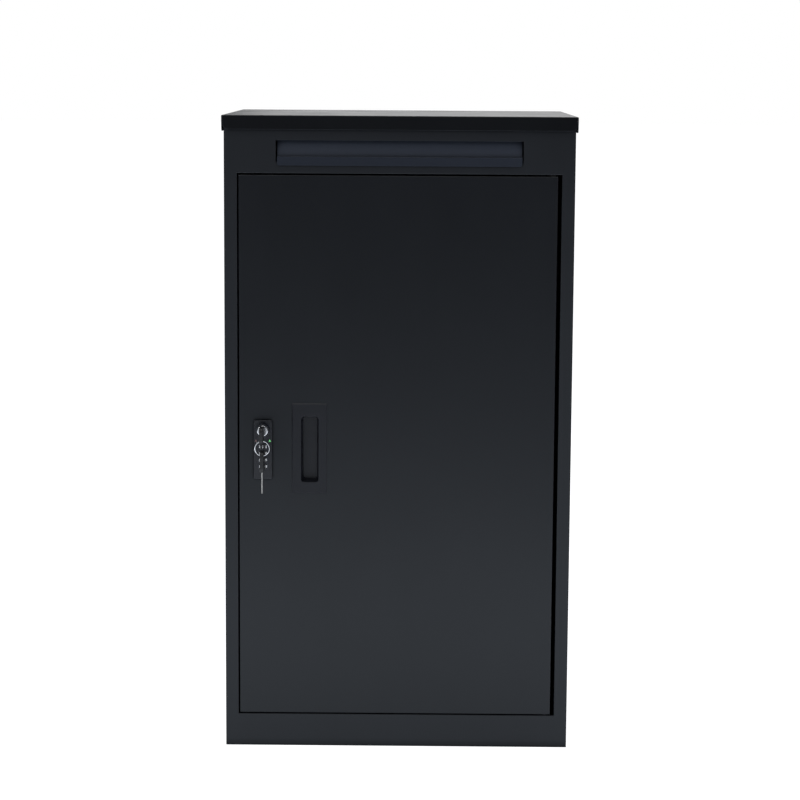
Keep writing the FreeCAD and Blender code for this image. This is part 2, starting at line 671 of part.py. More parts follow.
# ---- drop tray and its link bars ----
def turned(forward, up, degrees):
    """A (forward, up) offset from a hinge, turned upwards about it, as (y, z) offsets."""
    angle = math.radians(degrees)
    f = forward * math.cos(angle) - up * math.sin(angle)
    u = forward * math.sin(angle) + up * math.cos(angle)
    return -f, u


def tray_point(forward, up):
    """A point given from the tray hinge, along the tray floor and square to it, as (y, z)."""
    y, z = turned(forward, up, -TRAY_HANG_DEG)
    return TRAY_AXIS_Y + y, TRAY_AXIS_Z + z


def ear_outline():
    """Side ear of the tray at rest: heel stop, link pin tip and the edge along the tray floor."""
    heel = turned(TRAY_HEEL, 0, 180 - LID_OPEN_DEG)
    tip_up = turned(LINK_R + TRAY_TIP, TRAY_TIP, LINK_DEG)
    tip_down = turned(LINK_R + TRAY_TIP, -TRAY_TIP, LINK_DEG)
    upper = [(TRAY_AXIS_Y + y, TRAY_AXIS_Z + z) for y, z in (heel, tip_up, tip_down)]
    return upper + [tray_point(TRAY_EAR_LOW, 0), tray_point(TRAY_EAR_LOW, -TRAY_DEEP - SHEET),
                    tray_point(0, -TRAY_DEEP - 1)]


def tray_strip(forward_0, forward_1, up_0, up_1, x0, x1):
    """A flat piece of the tray between two distances along its floor and two heights above it."""
    corners = [tray_point(forward_0, up_0), tray_point(forward_1, up_0),
               tray_point(forward_1, up_1), tray_point(forward_0, up_1)]
    return prism_x(corners, x0, x1)


def drop_tray():
    """Folded tray that hangs behind the parcels and swings level when the roof opens."""
    floor_z = -TRAY_DEEP
    lip_z = TRAY_LIP - TRAY_DEEP
    edge = TRAY_HALF - SHEET
    floor = tray_strip(TRAY_REAR, TRAY_LENGTH, floor_z, floor_z - SHEET, -TRAY_HALF, TRAY_HALF)
    lip = tray_strip(TRAY_LENGTH - SHEET, TRAY_LENGTH, floor_z, lip_z, -TRAY_HALF, TRAY_HALF)
    curb = tray_strip(TRAY_REAR, TRAY_LENGTH, floor_z, lip_z, edge, TRAY_HALF)
    ear = prism_x(ear_outline(), edge, TRAY_HALF)
    hole = rod_x(TRAY_ROD_R + RUNNING_GAP, -TRAY_HALF - PAST, TRAY_HALF + PAST, TRAY_AXIS_Y, TRAY_AXIS_Z)
    return fuse([floor, lip, curb, mirrored(curb), ear, mirrored(ear)]).cut(hole)


def tray_rod():
    half = INNER_W - FLANGE - 2
    return rod_x(TRAY_ROD_R, -half, half, TRAY_AXIS_Y, TRAY_AXIS_Z)


def tray_brackets():
    """Angle brackets on the back panel that carry the tray rod."""
    wall = BACK - SHEET
    x0 = TRAY_HALF + TRAY_BRACKET_GAP
    x1 = x0 + TRAY_BRACKET_T
    z0 = TRAY_AXIS_Z - TRAY_BRACKET_H / 2
    z1 = TRAY_AXIS_Z + TRAY_BRACKET_H / 2
    plate = slab(x0, x1, TRAY_AXIS_Y - TRAY_BRACKET_NOSE, wall, z0, z1, TRAY_BRACKET_R, "x")
    foot = box(TRAY_HALF - TRAY_BRACKET_FOOT, x1, wall - TRAY_BRACKET_FOOT_T, wall, z0, z1)
    hole = rod_x(TRAY_ROD_R, x0 - PAST, x1 + PAST, TRAY_AXIS_Y, TRAY_AXIS_Z)
    return both_sides(fuse([plate, foot]).cut(hole))


def link_pin(y, z):
    """A headed pin that stands out from the tray's ear or the roof's bracket through a link bar."""
    end = LINK_X + LINK_T + LINK_PLAY
    shank = rod_x(LINK_PIN_R, TRAY_HALF, end, y, z)
    head = rod_x(LINK_PIN_R + LINK_PIN_HEAD_OUT, end, end + LINK_PIN_HEAD, y, z)
    return fuse([shank, head])


def tray_link_pins():
    """Pins in the tray's ears for the lower ends of the link bars."""
    return both_sides(link_pin(TRAY_AXIS_Y + LINK_DY, TRAY_AXIS_Z + LINK_DZ))


def lid_link_pins():
    """Pins in the roof's brackets for the upper ends of the link bars."""
    return both_sides(link_pin(LID_AXIS_Y + LINK_DY, LID_AXIS_Z + LINK_DZ))


def lid_link_brackets():
    """Angle brackets under the roof, one per link bar."""
    y0 = LID_AXIS_Y + LINK_DY - LINK_BRACKET_HALF
    y1 = LID_AXIS_Y + LINK_DY + LINK_BRACKET_HALF
    z = LID_AXIS_Z + LINK_DZ
    x0 = TRAY_HALF - LINK_BRACKET_T
    plate = slab(x0, TRAY_HALF, y0, y1, z - LINK_BRACKET_LOW, LID_UNDER, LINK_BRACKET_R, "x")
    square_top = box(x0, TRAY_HALF, y0, y1, z, LID_UNDER)
    foot = box(TRAY_HALF - LINK_BRACKET_FOOT, TRAY_HALF, y0, y1, LID_UNDER - LINK_BRACKET_T, LID_UNDER)
    return both_sides(fuse([plate, square_top, foot]))


def link_bar(side):
    """Flat bar with rounded ends and a pin hole at each end."""
    x0 = LINK_X
    x1 = LINK_X + LINK_T
    top = (LID_AXIS_Y + LINK_DY, LID_AXIS_Z + LINK_DZ)
    low = (TRAY_AXIS_Y + LINK_DY, TRAY_AXIS_Z + LINK_DZ)
    across = math.atan2(top[1] - low[1], top[0] - low[0]) + math.pi / 2
    dy = LINK_W / 2 * math.cos(across)
    dz = LINK_W / 2 * math.sin(across)
    middle = prism_x([(top[0] + dy, top[1] + dz), (top[0] - dy, top[1] - dz),
                      (low[0] - dy, low[1] - dz), (low[0] + dy, low[1] + dz)], x0, x1)
    ends = [rod_x(LINK_W / 2, x0, x1, *end) for end in (top, low)]
    holes = [rod_x(LINK_PIN_R + RUNNING_GAP, x0 - PAST, x1 + PAST, *end) for end in (top, low)]
    shape = fuse([middle] + ends).cut(holes)
    return shape if side > 0 else mirrored(shape)


# ---- letter slot ----
def flap_ear(x0):
    """Ear of the flap around the flap rod."""
    x1 = x0 + FLAP_EAR_T
    eye = rod_x(FLAP_EAR_R, x0, x1, FLAP_AXIS_Y, FLAP_AXIS_Z)
    web = box(x0, x1, FLAP_AXIS_Y, FRONT + FLAP_RECESS + FLAP_SHEET, SLOT_Z1, FLAP_TOP_Z - FLAP_SHEET / 2)
    return fuse([eye, web])


def slot_flap():
    """Leaning flap behind the cut-out; its lip comes forward over the lower edge as a finger pull."""
    half = FLAP_HALF
    top_y = FRONT + FLAP_RECESS
    low_y = FRONT + FLAP_RECESS_LOW
    lip_y = FRONT - FLAP_LIP_OUT
    under = FLAP_CREASE_Z - FLAP_SHEET
    panel = prism_x([(low_y, FLAP_CREASE_Z), (top_y, SLOT_Z1), (top_y, FLAP_TOP_Z),
                     (top_y + FLAP_SHEET, FLAP_TOP_Z), (top_y + FLAP_SHEET, SLOT_Z1),
                     (low_y + FLAP_SHEET, under), (low_y, under)], -half, half)
    ledge = box(-half, half, lip_y, low_y + SMALL, under, FLAP_CREASE_Z)
    blank = slab(-half, half, lip_y, lip_y + FLAP_SHEET, FLAP_LIP_Z, FLAP_CREASE_Z + 2 * FLAP_CORNER_R,
                 FLAP_CORNER_R, "y")
    above = box(-half - PAST, half + PAST, lip_y - PAST, low_y, FLAP_CREASE_Z, FLAP_TOP_Z)
    shape = fuse([panel, ledge, blank.cut(above)])
    shape = round_edges(shape, FLAP_FOLD_R, lambda c, b: near(c.y, lip_y) and near(c.z, FLAP_CREASE_Z))
    hole = rod_x(FLAP_ROD_R + RUNNING_GAP, -half - PAST, half + PAST, FLAP_AXIS_Y, FLAP_AXIS_Z)
    return fuse([shape, flap_ear(-half), flap_ear(half - FLAP_EAR_T)]).cut(hole)


def flap_rod():
    half = SLOT_HALF + 4
    return rod_x(FLAP_ROD_R, -half, half, FLAP_AXIS_Y, FLAP_AXIS_Z)


def flap_brackets():
    """Small angles welded behind the front sheet that hold the ends of the flap rod."""
    y0 = FRONT + SHEET
    x0 = SLOT_HALF + HOLE_GAP
    x1 = x0 + FLAP_ANGLE
    z0 = FLAP_AXIS_Z - FLAP_EAR_R * 2
    z1 = FLAP_AXIS_Z + FLAP_EAR_R * 1.6
    plate = box(x0, x1, y0, FLAP_AXIS_Y + FLAP_ANGLE_LEG, z0, z1)
    foot = box(x0, x0 + FLAP_ANGLE_LEG, y0, y0 + FLAP_ANGLE, z0, z1)
    hole = rod_x(FLAP_ROD_R, x0 - PAST, x0 + FLAP_ANGLE_LEG + PAST, FLAP_AXIS_Y, FLAP_AXIS_Z)
    return both_sides(fuse([plate, foot]).cut(hole))


def slot_baffle():
    """Anti-fishing hood behind the slot: letters can only fall straight down behind the door header."""
    half = CHUTE_HALF
    y0 = FRONT + SHEET
    y1 = FRONT + CHUTE_D
    toe = y1 - CHUTE_EAR
    rear = box(-half, half, y1 - SHEET, y1, CHUTE_LOW_Z, CHUTE_TOP_Z)
    top = box(-half, half, y0, y1, CHUTE_TOP_Z - SHEET, CHUTE_TOP_Z)
    cheek = prism_x([(y0, CHEEK_LOW_Z), (y0, CHUTE_TOP_Z), (y1, CHUTE_TOP_Z), (y1, CHUTE_LOW_Z),
                     (toe, CHUTE_LOW_Z), (toe, CHEEK_LOW_Z)], half, half + SHEET)
    ear = box(half, half + CHUTE_EAR, y0, y0 + SHEET, CHEEK_LOW_Z, CHUTE_TOP_Z)
    return fuse([rear, top, cheek, ear, mirrored(cheek), mirrored(ear)])


def letter_ramp():
    """Sloping strip that guides letters from the slot's lower edge past the door header."""
    y0 = FRONT + SHEET
    y1 = FRONT + JAMB_DEPTH + RAMP_GAP
    half = CHUTE_HALF - RAMP_GAP
    high = SLOT_Z0 - RAMP_GAP
    low = DOOR_OPEN_Z1 + SHEET + RAMP_LIFT
    outline = [(y0, high), (y0 + SHEET, high), (y1, low), (y1 - SHEET, low - RAMP_LIFT / 2),
               (y0, high - RAMP_EDGE)]
    return prism_x(outline, -half, half)


# ---- door ----
def door_holes():
    """What is cut through the door: lock body, handle cup, clamp screws and pivot bushes."""
    y0 = FRONT - PAST
    y1 = FRONT + SHEET + PAST
    half_w = LOCK_BODY_W / 2 + LOCK_FIT
    half_h = LOCK_BODY_H / 2 + LOCK_FIT
    cup = CUP_WALL + HOLE_GAP
    holes = [box(LOCK_X - half_w, LOCK_X + half_w, y0, y1, LOCK_Z - half_h, LOCK_Z + half_h),
             box(POCKET_X0 - cup, POCKET_X1 + cup, y0, y1, POCKET_Z0 - cup, POCKET_Z1 + cup)]
    holes += lock_screw_holes(LOCK_SCREW_R + HOLE_GAP, y0, y1)
    return holes + [rod_z(BUSH_R, PIVOT_X, PIVOT_Y, z - SHEET - PAST, z + SHEET + PAST)
                    for z in (DOOR_Z0, DOOR_Z1)]


def door_panel():
    """Door folded from one sheet: flat face, returns on four sides, lips behind."""
    rear = FRONT + DOOR_DEPTH
    outer = box(DOOR_L, DOOR_R, FRONT, rear, DOOR_Z0, DOOR_Z1)
    outer = round_edges(outer, FOLD_R, lambda c, b: near(c.y, FRONT))
    inside = box(DOOR_L + SHEET, DOOR_R - SHEET, FRONT + SHEET, rear - SHEET,
                 DOOR_Z0 + SHEET, DOOR_Z1 - SHEET)
    window = box(DOOR_L + DOOR_LIP, DOOR_R - DOOR_LIP, rear - SHEET - PAST, rear + PAST,
                 DOOR_Z0 + DOOR_LIP, DOOR_Z1 - DOOR_LIP)
    return outer.cut([inside, window] + door_holes())


def door_stiffener():
    """Upright hat-section rib behind the middle of the door."""
    back = FRONT + SHEET
    z0 = DOOR_Z0 + DOOR_RIB_END
    points = [V(DOOR_RIB_X + x, back + y, z0)
              for x, y in hat_outline(DOOR_RIB_HALF + DOOR_RIB_FLANGE, DOOR_RIB_HALF + SHEET, DOOR_RIB_DEEP)]
    outline = Part.makePolygon(points + points[:1])
    return Part.Face(outline).extrude(V(0, 0, DOOR_Z1 - DOOR_RIB_END - z0))


def outline_at(y, x0, x1, z0, z1, inset):
    """A rectangle facing along Y, drawn in on all sides by an inset."""
    left, right, low, high = x0 + inset, x1 - inset, z0 + inset, z1 - inset
    return Part.makePolygon([V(left, y, low), V(right, y, low), V(right, y, high), V(left, y, high),
                             V(left, y, low)])


def hand_pocket():
    """Cutter for the hand pocket: walls that lean in and a floor that deepens downwards."""
    mouth = FRONT - HANDLE_PROUD - PAST
    floor = FRONT + POCKET_D_LOW
    sides = (POCKET_X0, POCKET_X1, POCKET_Z0, POCKET_Z1)
    ends = [outline_at(mouth, *sides, 0), outline_at(floor, *sides, POCKET_DRAFT)]
    hollow = Part.makeLoft(ends, True, True)
    hollow = round_edges(hollow, POCKET_R, lambda c, b: near(b.YLength, floor - mouth))
    slope = prism_x([(FRONT + POCKET_D_TOP, POCKET_Z1), (floor, POCKET_Z0),
                     (floor + PAST, POCKET_Z0), (floor + PAST, POCKET_Z1)], POCKET_X0, POCKET_X1)
    return hollow.cut(slope)


def recessed_handle():
    """Pull cup: a flat bezel with bevelled edges on the door's face, around the hand pocket."""
    mouth = FRONT - HANDLE_PROUD
    sides = (HANDLE_X0, HANDLE_X1, HANDLE_Z0, HANDLE_Z1)
    faces = [outline_at(FRONT, *sides, 0), outline_at(mouth, *sides, HANDLE_BEVEL)]
    bezel = Part.makeLoft(faces, True, True)
    cup = slab(POCKET_X0 - CUP_WALL, POCKET_X1 + CUP_WALL, FRONT, FRONT + POCKET_D_LOW + CUP_WALL,
               POCKET_Z0 - CUP_WALL, POCKET_Z1 + CUP_WALL, POCKET_R + CUP_WALL, "y")
    shape = fuse([bezel, cup]).cut(hand_pocket())
    return round_edges(shape, POCKET_LIP_R, lambda c, b: near(c.y, mouth)
                       and POCKET_X0 - SMALL < c.x < POCKET_X1 + SMALL
                       and POCKET_Z0 - SMALL < c.z < POCKET_Z1 + SMALL)


def handle_retainer():
    """Frame pressed over the cup from behind, which holds the handle to the door."""
    y0 = FRONT + SHEET
    y1 = y0 + RETAINER_T
    edge = CUP_WALL + RETAINER_W
    outer = slab(POCKET_X0 - edge, POCKET_X1 + edge, y0, y1, POCKET_Z0 - edge, POCKET_Z1 + edge, 4, "y")
    hole = slab(POCKET_X0 - CUP_WALL, POCKET_X1 + CUP_WALL, y0 - PAST, y1 + PAST,
                POCKET_Z0 - CUP_WALL, POCKET_Z1 + CUP_WALL, POCKET_R + CUP_WALL, "y")
    return outer.cut(hole)


# ---- lock ----
def dial_height(number):
    return DIAL_TOP_Z - number * DIAL_PITCH


def knob_rod(radius, near_out, far_out):
    """A round bar on the knob's axis between two distances out from the door's face."""
    return rod_y(radius, LOCK_X, FRONT - near_out, FRONT - far_out, KNOB_Z)


def lock_screw_holes(radius, y0, y1):
    """Holes for the two clamp screws."""
    return [rod_y(radius, LOCK_X, y0, y1, LOCK_Z + dz) for dz in (-LOCK_SCREW_DZ, LOCK_SCREW_DZ)]


def cover_screw_places():
    """The (x, z) places of the two cover screws, on opposite corners."""
    return list(zip((LOCK_X - COVER_SCREW_X, LOCK_X + COVER_SCREW_X), COVER_SCREW_Z))


def lock_block(y0, y1):
    """The lock body's rounded rectangle between two depths."""
    return slab(LOCK_X - LOCK_BODY_W / 2, LOCK_X + LOCK_BODY_W / 2, y0, y1,
                LOCK_Z - LOCK_BODY_H / 2, LOCK_Z + LOCK_BODY_H / 2, LOCK_BODY_R, "y")


def lock_housing():
    """Die-cast housing: plate outside the door, body through it, four dial windows, knob seat."""
    plate = slab(LOCK_X - PLATE_W / 2, LOCK_X + PLATE_W / 2, FRONT - PLATE_T, FRONT,
                 LOCK_Z - PLATE_H / 2, LOCK_Z + PLATE_H / 2, PLATE_R, "y")
    plate = round_edges(plate, PLATE_EDGE_R, lambda c, b: near(c.y, FRONT - PLATE_T))
    room = DETENT_HALF_W + 2 * DIAL_WINDOW_GAP
    cuts = [knob_rod(KNOB_RECESS_R, PLATE_T + PAST, PLATE_T - KNOB_RECESS),
            knob_rod(PLUG_R + RUNNING_GAP, PLATE_T + PAST, -LOCK_BODY_D - PAST),
            rod_z(DIAL_SHAFT_R, LOCK_X, DIAL_Y, SHAFT_Z0, SHAFT_Z1),
            box(LOCK_X - room, LOCK_X + room, DIAL_Y + DIAL_R, LOCK_REAR + PAST, SHAFT_Z0 + 1, SHAFT_Z1 - 1)]
    half = DIAL_T / 2 + LOCK_FIT
    for number in range(DIAL_COUNT):
        z = dial_height(number)
        cuts.append(rod_z(DIAL_R + DIAL_WINDOW_GAP, LOCK_X, DIAL_Y, z - half, z + half))
    cuts += lock_screw_holes(LOCK_SCREW_R, FRONT - LOCK_SCREW_BITE, FRONT + PAST)
    cuts += [rod_y(COVER_SCREW_R, x, LOCK_REAR - COVER_SCREW_L, LOCK_REAR + PAST, z)
             for x, z in cover_screw_places()]
    return fuse([plate, lock_block(FRONT, LOCK_REAR)]).cut(cuts)


def lock_clamp():
    """Frame around the lock body inside the door, pulled up by two screws."""
    y0 = FRONT + SHEET
    y1 = y0 + CLAMP_T
    half_w = LOCK_BODY_W / 2 + LOCK_FIT
    half_h = LOCK_BODY_H / 2 + LOCK_FIT
    frame = slab(LOCK_X - CLAMP_HALF_W, LOCK_X + CLAMP_HALF_W, y0, y1,
                 LOCK_Z - CLAMP_HALF_H, LOCK_Z + CLAMP_HALF_H, 2, "y")
    hole = box(LOCK_X - half_w, LOCK_X + half_w, y0 - PAST, y1 + PAST, LOCK_Z - half_h, LOCK_Z + half_h)
    return frame.cut([hole] + lock_screw_holes(LOCK_SCREW_R + HOLE_GAP, y0 - PAST, y1 + PAST))


def pan_head_screw(x, seat, z, shank_r, length, head_r, head_h):
    """A cross-slotted screw driven in from behind: its rounded head stands along +Y from the seat."""
    crown = seat + head_h
    head = rod_y(head_r, x, seat, crown, z)
    rounding = head_h * HEAD_ROUNDING
    head = round_edges(head, rounding, lambda c, b: near(c.y, crown) and near(b.YLength, 0))
    reach = head_r * CROSS_REACH
    slots = [box(x - a, x + a, seat + head_h / 2, crown + PAST, z - b, z + b)
             for a, b in ((reach, CROSS_HALF_W), (CROSS_HALF_W, reach))]
    return fuse([rod_y(shank_r, x, seat - length, seat, z), head]).cut(slots)


def lock_clamp_screws():
    """Screws that pull the clamp towards the face plate."""
    seat = FRONT + SHEET + CLAMP_T
    return Part.makeCompound([pan_head_screw(LOCK_X, seat, LOCK_Z + dz, LOCK_SCREW_R, 4.2, 3.0, 2.0)
                              for dz in (-LOCK_SCREW_DZ, LOCK_SCREW_DZ)])


def lock_cover():
    """Plate that closes the back of the lock body, with a hole for the spindle."""
    rear = LOCK_REAR + COVER_T
    holes = [rod_y(COVER_SCREW_R, x, LOCK_REAR - PAST, rear + PAST, z) for x, z in cover_screw_places()]
    spindle_hole = rod_y(SPINDLE_HOLE_R, LOCK_X, LOCK_REAR - PAST, rear + PAST, KNOB_Z)
    return lock_block(LOCK_REAR, rear).cut(holes + [spindle_hole])


def lock_cover_screws():
    """Small screws that hold the rear cover to the lock body."""
    seat = LOCK_REAR + COVER_T
    return Part.makeCompound([pan_head_screw(x, seat, z, COVER_SCREW_R, COVER_SCREW_L, 2.0, 1.2)
                              for x, z in cover_screw_places()])


def lock_knob():
    """Ring-shaped turn knob around the key plug, with finger grips."""
    knob = knob_rod(KNOB_R, PLATE_T - KNOB_SEAT, KNOB_FACE)
    knob = round_edges(knob, KNOB_EDGE_R, lambda c, b: near(c.y, FRONT - KNOB_FACE))
    cuts = [knob_rod(PLUG_FACE_R, 0, KNOB_FACE + PAST)]
    reach = KNOB_R + 0.5
    for number in range(KNOB_GRIPS):
        angle = (number + 0.5) * 2 * math.pi / KNOB_GRIPS
        x = LOCK_X + reach * math.cos(angle)
        z = KNOB_Z + reach * math.sin(angle)
        cuts.append(rod_y(KNOB_GRIP_R, x, FRONT - PLATE_T - 1.5, FRONT - KNOB_FACE - PAST, z))
    return knob.cut(cuts)


def key_plug():
    """Chromed key cylinder in the knob, with the keyway through it."""
    root = PLATE_T - KNOB_SEAT
    face = knob_rod(PLUG_FACE_R, root, PLUG_FACE)
    face = round_edges(face, PLUG_EDGE_R, lambda c, b: near(c.y, FRONT - PLUG_FACE))
    dish = knob_rod(PLUG_FACE_R - PLUG_RIM, PLUG_FACE - PLUG_DISH, PLUG_FACE + PAST)
    barrel = knob_rod(PLUG_R, root, -LOCK_BODY_D + 0.5)
    half_t = BLADE_T / 2 + KEYWAY_GAP
    half_w = BLADE_W / 2 + KEYWAY_GAP
    keyway = box(LOCK_X - half_t, LOCK_X + half_t, FRONT - PLUG_FACE - PAST,
                 FRONT + BLADE_L - BOW_OUT + 1, KNOB_Z - half_w, KNOB_Z + half_w)
    return fuse([face, barrel]).cut([dish, keyway])


def lock_spindle():
    """Square spindle from the plug through the cam."""
    half = SPINDLE / 2
    return box(LOCK_X - half, LOCK_X + half, LOCK_REAR - 0.5, FRONT + CAM_IN + CAM_T,
               KNOB_Z - half, KNOB_Z + half)


def lock_cam():
    """Locking cam: hangs down when unlocked and turns a quarter turn behind the jamb's lip."""
    y0 = FRONT + CAM_IN
    y1 = y0 + CAM_T
    blade = slab(LOCK_X - CAM_W / 2, LOCK_X + CAM_W / 2, y0, y1,
                 KNOB_Z - CAM_REACH, KNOB_Z + CAM_W / 2, 3, "y")
    half = SPINDLE / 2
    return blade.cut(box(LOCK_X - half, LOCK_X + half, y0 - PAST, y1 + PAST, KNOB_Z - half, KNOB_Z + half))


def cam_screw():
    """Hexagon-headed screw and washer that hold the cam on the spindle."""
    y0 = FRONT + CAM_IN + CAM_T
    y1 = y0 + CAM_WASHER_T
    washer = rod_y(CAM_WASHER_R, LOCK_X, y0, y1, KNOB_Z)
    angles = [math.radians(60 * corner) for corner in range(6)]
    corners = [(LOCK_X + CAM_SCREW_HEX_R * math.cos(a), KNOB_Z + CAM_SCREW_HEX_R * math.sin(a))
               for a in angles]
    return fuse([washer, prism_y(corners, y1, y1 + CAM_SCREW_HEAD)])


def dial_wheel(number):
    """Number wheel with a shallow finger notch between digits."""
    z0 = dial_height(number) - DIAL_T / 2
    z1 = z0 + DIAL_T
    wheel = rod_z(DIAL_R, LOCK_X, DIAL_Y, z0, z1)
    wheel = round_edges(wheel, DIAL_EDGE_R, lambda c, b: near(b.ZLength, 0) and near(b.XLength, 2 * DIAL_R))
    cuts = [rod_z(DIAL_SHAFT_R + RUNNING_GAP, LOCK_X, DIAL_Y, z0 - PAST, z1 + PAST)]
    reach = DIAL_R + NOTCH_OUT
    for place in range(DIAL_DIGITS):
        angle = (place + 0.5) * 2 * math.pi / DIAL_DIGITS - math.pi / 2
        x = LOCK_X + reach * math.cos(angle)
        y = DIAL_Y + reach * math.sin(angle)
        cuts.append(rod_z(NOTCH_R, x, y, z0 - PAST, z1 + PAST))
    return wheel.cut(cuts)


def dial_shaft():
    return rod_z(DIAL_SHAFT_R, LOCK_X, DIAL_Y, SHAFT_Z0, SHAFT_Z1)


def detent_spring():
    """Leaf spring behind the dials, with one bent finger per wheel."""
    back = LOCK_REAR - DETENT_T - SEAM_GAP
    touch = DIAL_Y + DIAL_R + DETENT_GAP
    strip = box(LOCK_X - DETENT_HALF_W, LOCK_X + DETENT_HALF_W, back, back + DETENT_T,
                DIAL_LOW_Z - DIAL_PITCH / 2, DIAL_TOP_Z + DIAL_PITCH / 2)
    half_tip = DETENT_T
    half_foot = DETENT_FOOT
    fingers = []
    for number in range(DIAL_COUNT):
        z = dial_height(number)
        outline = [(touch, z - half_tip), (touch, z + half_tip),
                   (back, z + half_foot), (back, z + half_foot - DETENT_T), (touch + 2 * DETENT_T, z),
                   (back, z - half_foot + DETENT_T), (back, z - half_foot)]
        fingers.append(prism_x(outline, LOCK_X - DETENT_FINGER, LOCK_X + DETENT_FINGER))
    return fuse([strip] + fingers)


def status_mark(side):
    """Small painted triangle beside the knob: red for locked, green for open."""
    x = LOCK_X + side * MARK_X
    face = FRONT - PLATE_T
    corners = [(x - MARK_HALF_W, MARK_Z - MARK_LOW), (x + MARK_HALF_W, MARK_Z - MARK_LOW),
               (x, MARK_Z + MARK_HIGH)]
    return prism_y(corners, face - MARK_T, face)


# ---- keys ----
def ring_slot():
    """Cutter for the bow's ring slot, with a round seat in the middle of its outer edge."""
    z = -BOW_T / 2 - PAST
    deep = BOW_T + 2 * PAST
    middle = BOW_L - BOW_SLOT_IN
    half = BOW_SLOT_L / 2
    reach = BOW_SLOT_W / 2 - half
    seat = middle + half + RING_SEAT_DEEP - RING_SEAT_R
    ends = [Part.makeCylinder(half, deep, V(middle, y, z)) for y in (-reach, reach)]
    straight = Part.makeBox(BOW_SLOT_L, 2 * reach, deep, V(middle - half, -reach, z))
    return fuse([straight, Part.makeCylinder(RING_SEAT_R, deep, V(seat, 0, z))] + ends)


def bow(root, along, across):
    """Plastic key head. along points from the blade to the outer end, across is the wide way."""
    shape = Part.makeBox(BOW_L, BOW_W, BOW_T, V(0, -BOW_W / 2, -BOW_T / 2))
    shape = round_edges(shape, BOW_R, lambda c, b: near(b.ZLength, BOW_T) and near(b.DiagonalLength, BOW_T))
    shape = shape.cut(ring_slot())
    shape = round_edges(shape, BOW_EDGE_R,
                        lambda c, b: near(abs(c.z), BOW_T / 2) and near(b.ZLength, 0))
    side = along.cross(across)
    turn = FreeCAD.Matrix(along.x, across.x, side.x, root.x,
                          along.y, across.y, side.y, root.y,
                          along.z, across.z, side.z, root.z)
    return shape.transformGeometry(turn)


def blade_outline():
    """Key blade as (along, up) points from the bow, with the bites on one edge and a pointed tip."""
    half = BLADE_W / 2
    shoulder = BLADE_L - BLADE_TIP
    points = [(0, -half), (shoulder, -half), (BLADE_L, -half + BLADE_TIP), (shoulder, half - 1)]
    for number, depth in enumerate(BITE_DEPTHS):
        end = shoulder - BITE_FLAT - number * BITE_PITCH
        crest = end - BITE_FLAT - BITE_PITCH / 3
        points += [(end, half - depth), (end - BITE_FLAT, half - depth), (crest, half - BITE_CREST)]
    return points + [(BLADE_NECK, half), (0, half)]


def key_blade():
    """Blade of the key in the lock."""
    points = [(FRONT - BOW_OUT + along, KNOB_Z + up) for along, up in blade_outline()]
    return prism_x(points, KEY_X - BLADE_T / 2, KEY_X + BLADE_T / 2)


def key_bow():
    return bow(V(KEY_X, FRONT - BOW_OUT, BOW_Z), Y_AXIS * -1, Z_AXIS)


def key_ring():
    return Part.makeTorus(RING_R, RING_WIRE, V(RING_X, RING_Y, RING_Z), Y_AXIS)


def spare_key_blade():
    """Blade of the key that hangs from the ring."""
    points = [(RING_Y + up, SPARE_ROOT_Z - along) for along, up in blade_outline()]
    return prism_x(points, RING_X - BLADE_T / 2, RING_X + BLADE_T / 2)


def spare_key_bow():
    return bow(V(RING_X, RING_Y, SPARE_ROOT_Z), Z_AXIS, Y_AXIS)


def main():
    os.makedirs("parts", exist_ok=True)
    save("front_frame", front_frame())
    save("left_side_panel", side_panel(-1))
    save("right_side_panel", side_panel(1))
    save("back_panel", back_panel())
    save("back_rivets", back_rivets())
    save("base_panel", base_panel())
    save("frame_pivot_plates", frame_pivot_plates())
    save("door_pivot_pins", door_pivot_pins())
    save("door_stops", door_stops())
    save("door_bumpers", door_bumpers())
    save("roof_lid", roof_lid())
    save("lid_stiffener", lid_stiffener())
    save("lid_hinge_body_leaf", lid_body_leaf())
    save("lid_hinge_leaf", lid_leaf())
    save("lid_hinge_pin", lid_pin())
    save("lid_hinge_body_rivets", lid_body_rivets())
    save("lid_hinge_rivets", lid_rivets())
    save("lid_seal", lid_seal())
    save("lid_link_brackets", lid_link_brackets())
    save("lid_link_pins", lid_link_pins())
    save("left_link_bar", link_bar(-1))
    save("right_link_bar", link_bar(1))
    save("drop_tray", drop_tray())
    save("tray_rod", tray_rod())
    save("tray_brackets", tray_brackets())
    save("tray_link_pins", tray_link_pins())
    save("slot_flap", slot_flap())
    save("flap_rod", flap_rod())
    save("flap_brackets", flap_brackets())
    save("slot_baffle", slot_baffle())
    save("letter_ramp", letter_ramp())
    save("door_panel", door_panel())
    save("door_stiffener", door_stiffener())
    save("door_bushes", door_bushes())
    save("door_pivot_plates", door_pivot_plates())
    save("recessed_handle", recessed_handle())
    save("handle_retainer", handle_retainer())
    save("lock_housing", lock_housing())
    save("lock_clamp", lock_clamp())
    save("lock_clamp_screws", lock_clamp_screws())
    save("lock_cover", lock_cover())
    save("lock_cover_screws", lock_cover_screws())
    save("dial_shaft", dial_shaft())
    save("detent_spring", detent_spring())
    save("status_mark_red", status_mark(-1))
    save("status_mark_green", status_mark(1))
    save("lock_knob", lock_knob())
    save("key_plug", key_plug())
    save("lock_spindle", lock_spindle())
    save("lock_cam", lock_cam())
    save("cam_screw", cam_screw())
    for number in range(DIAL_COUNT):
        save("dial_wheel_%d" % (number + 1), dial_wheel(number))
    save("key_blade", key_blade())
    save("key_bow", key_bow())
    save("key_ring", key_ring())
    save("spare_key_blade", spare_key_blade())
    save("spare_key_bow", spare_key_bow())


main()
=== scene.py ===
import math

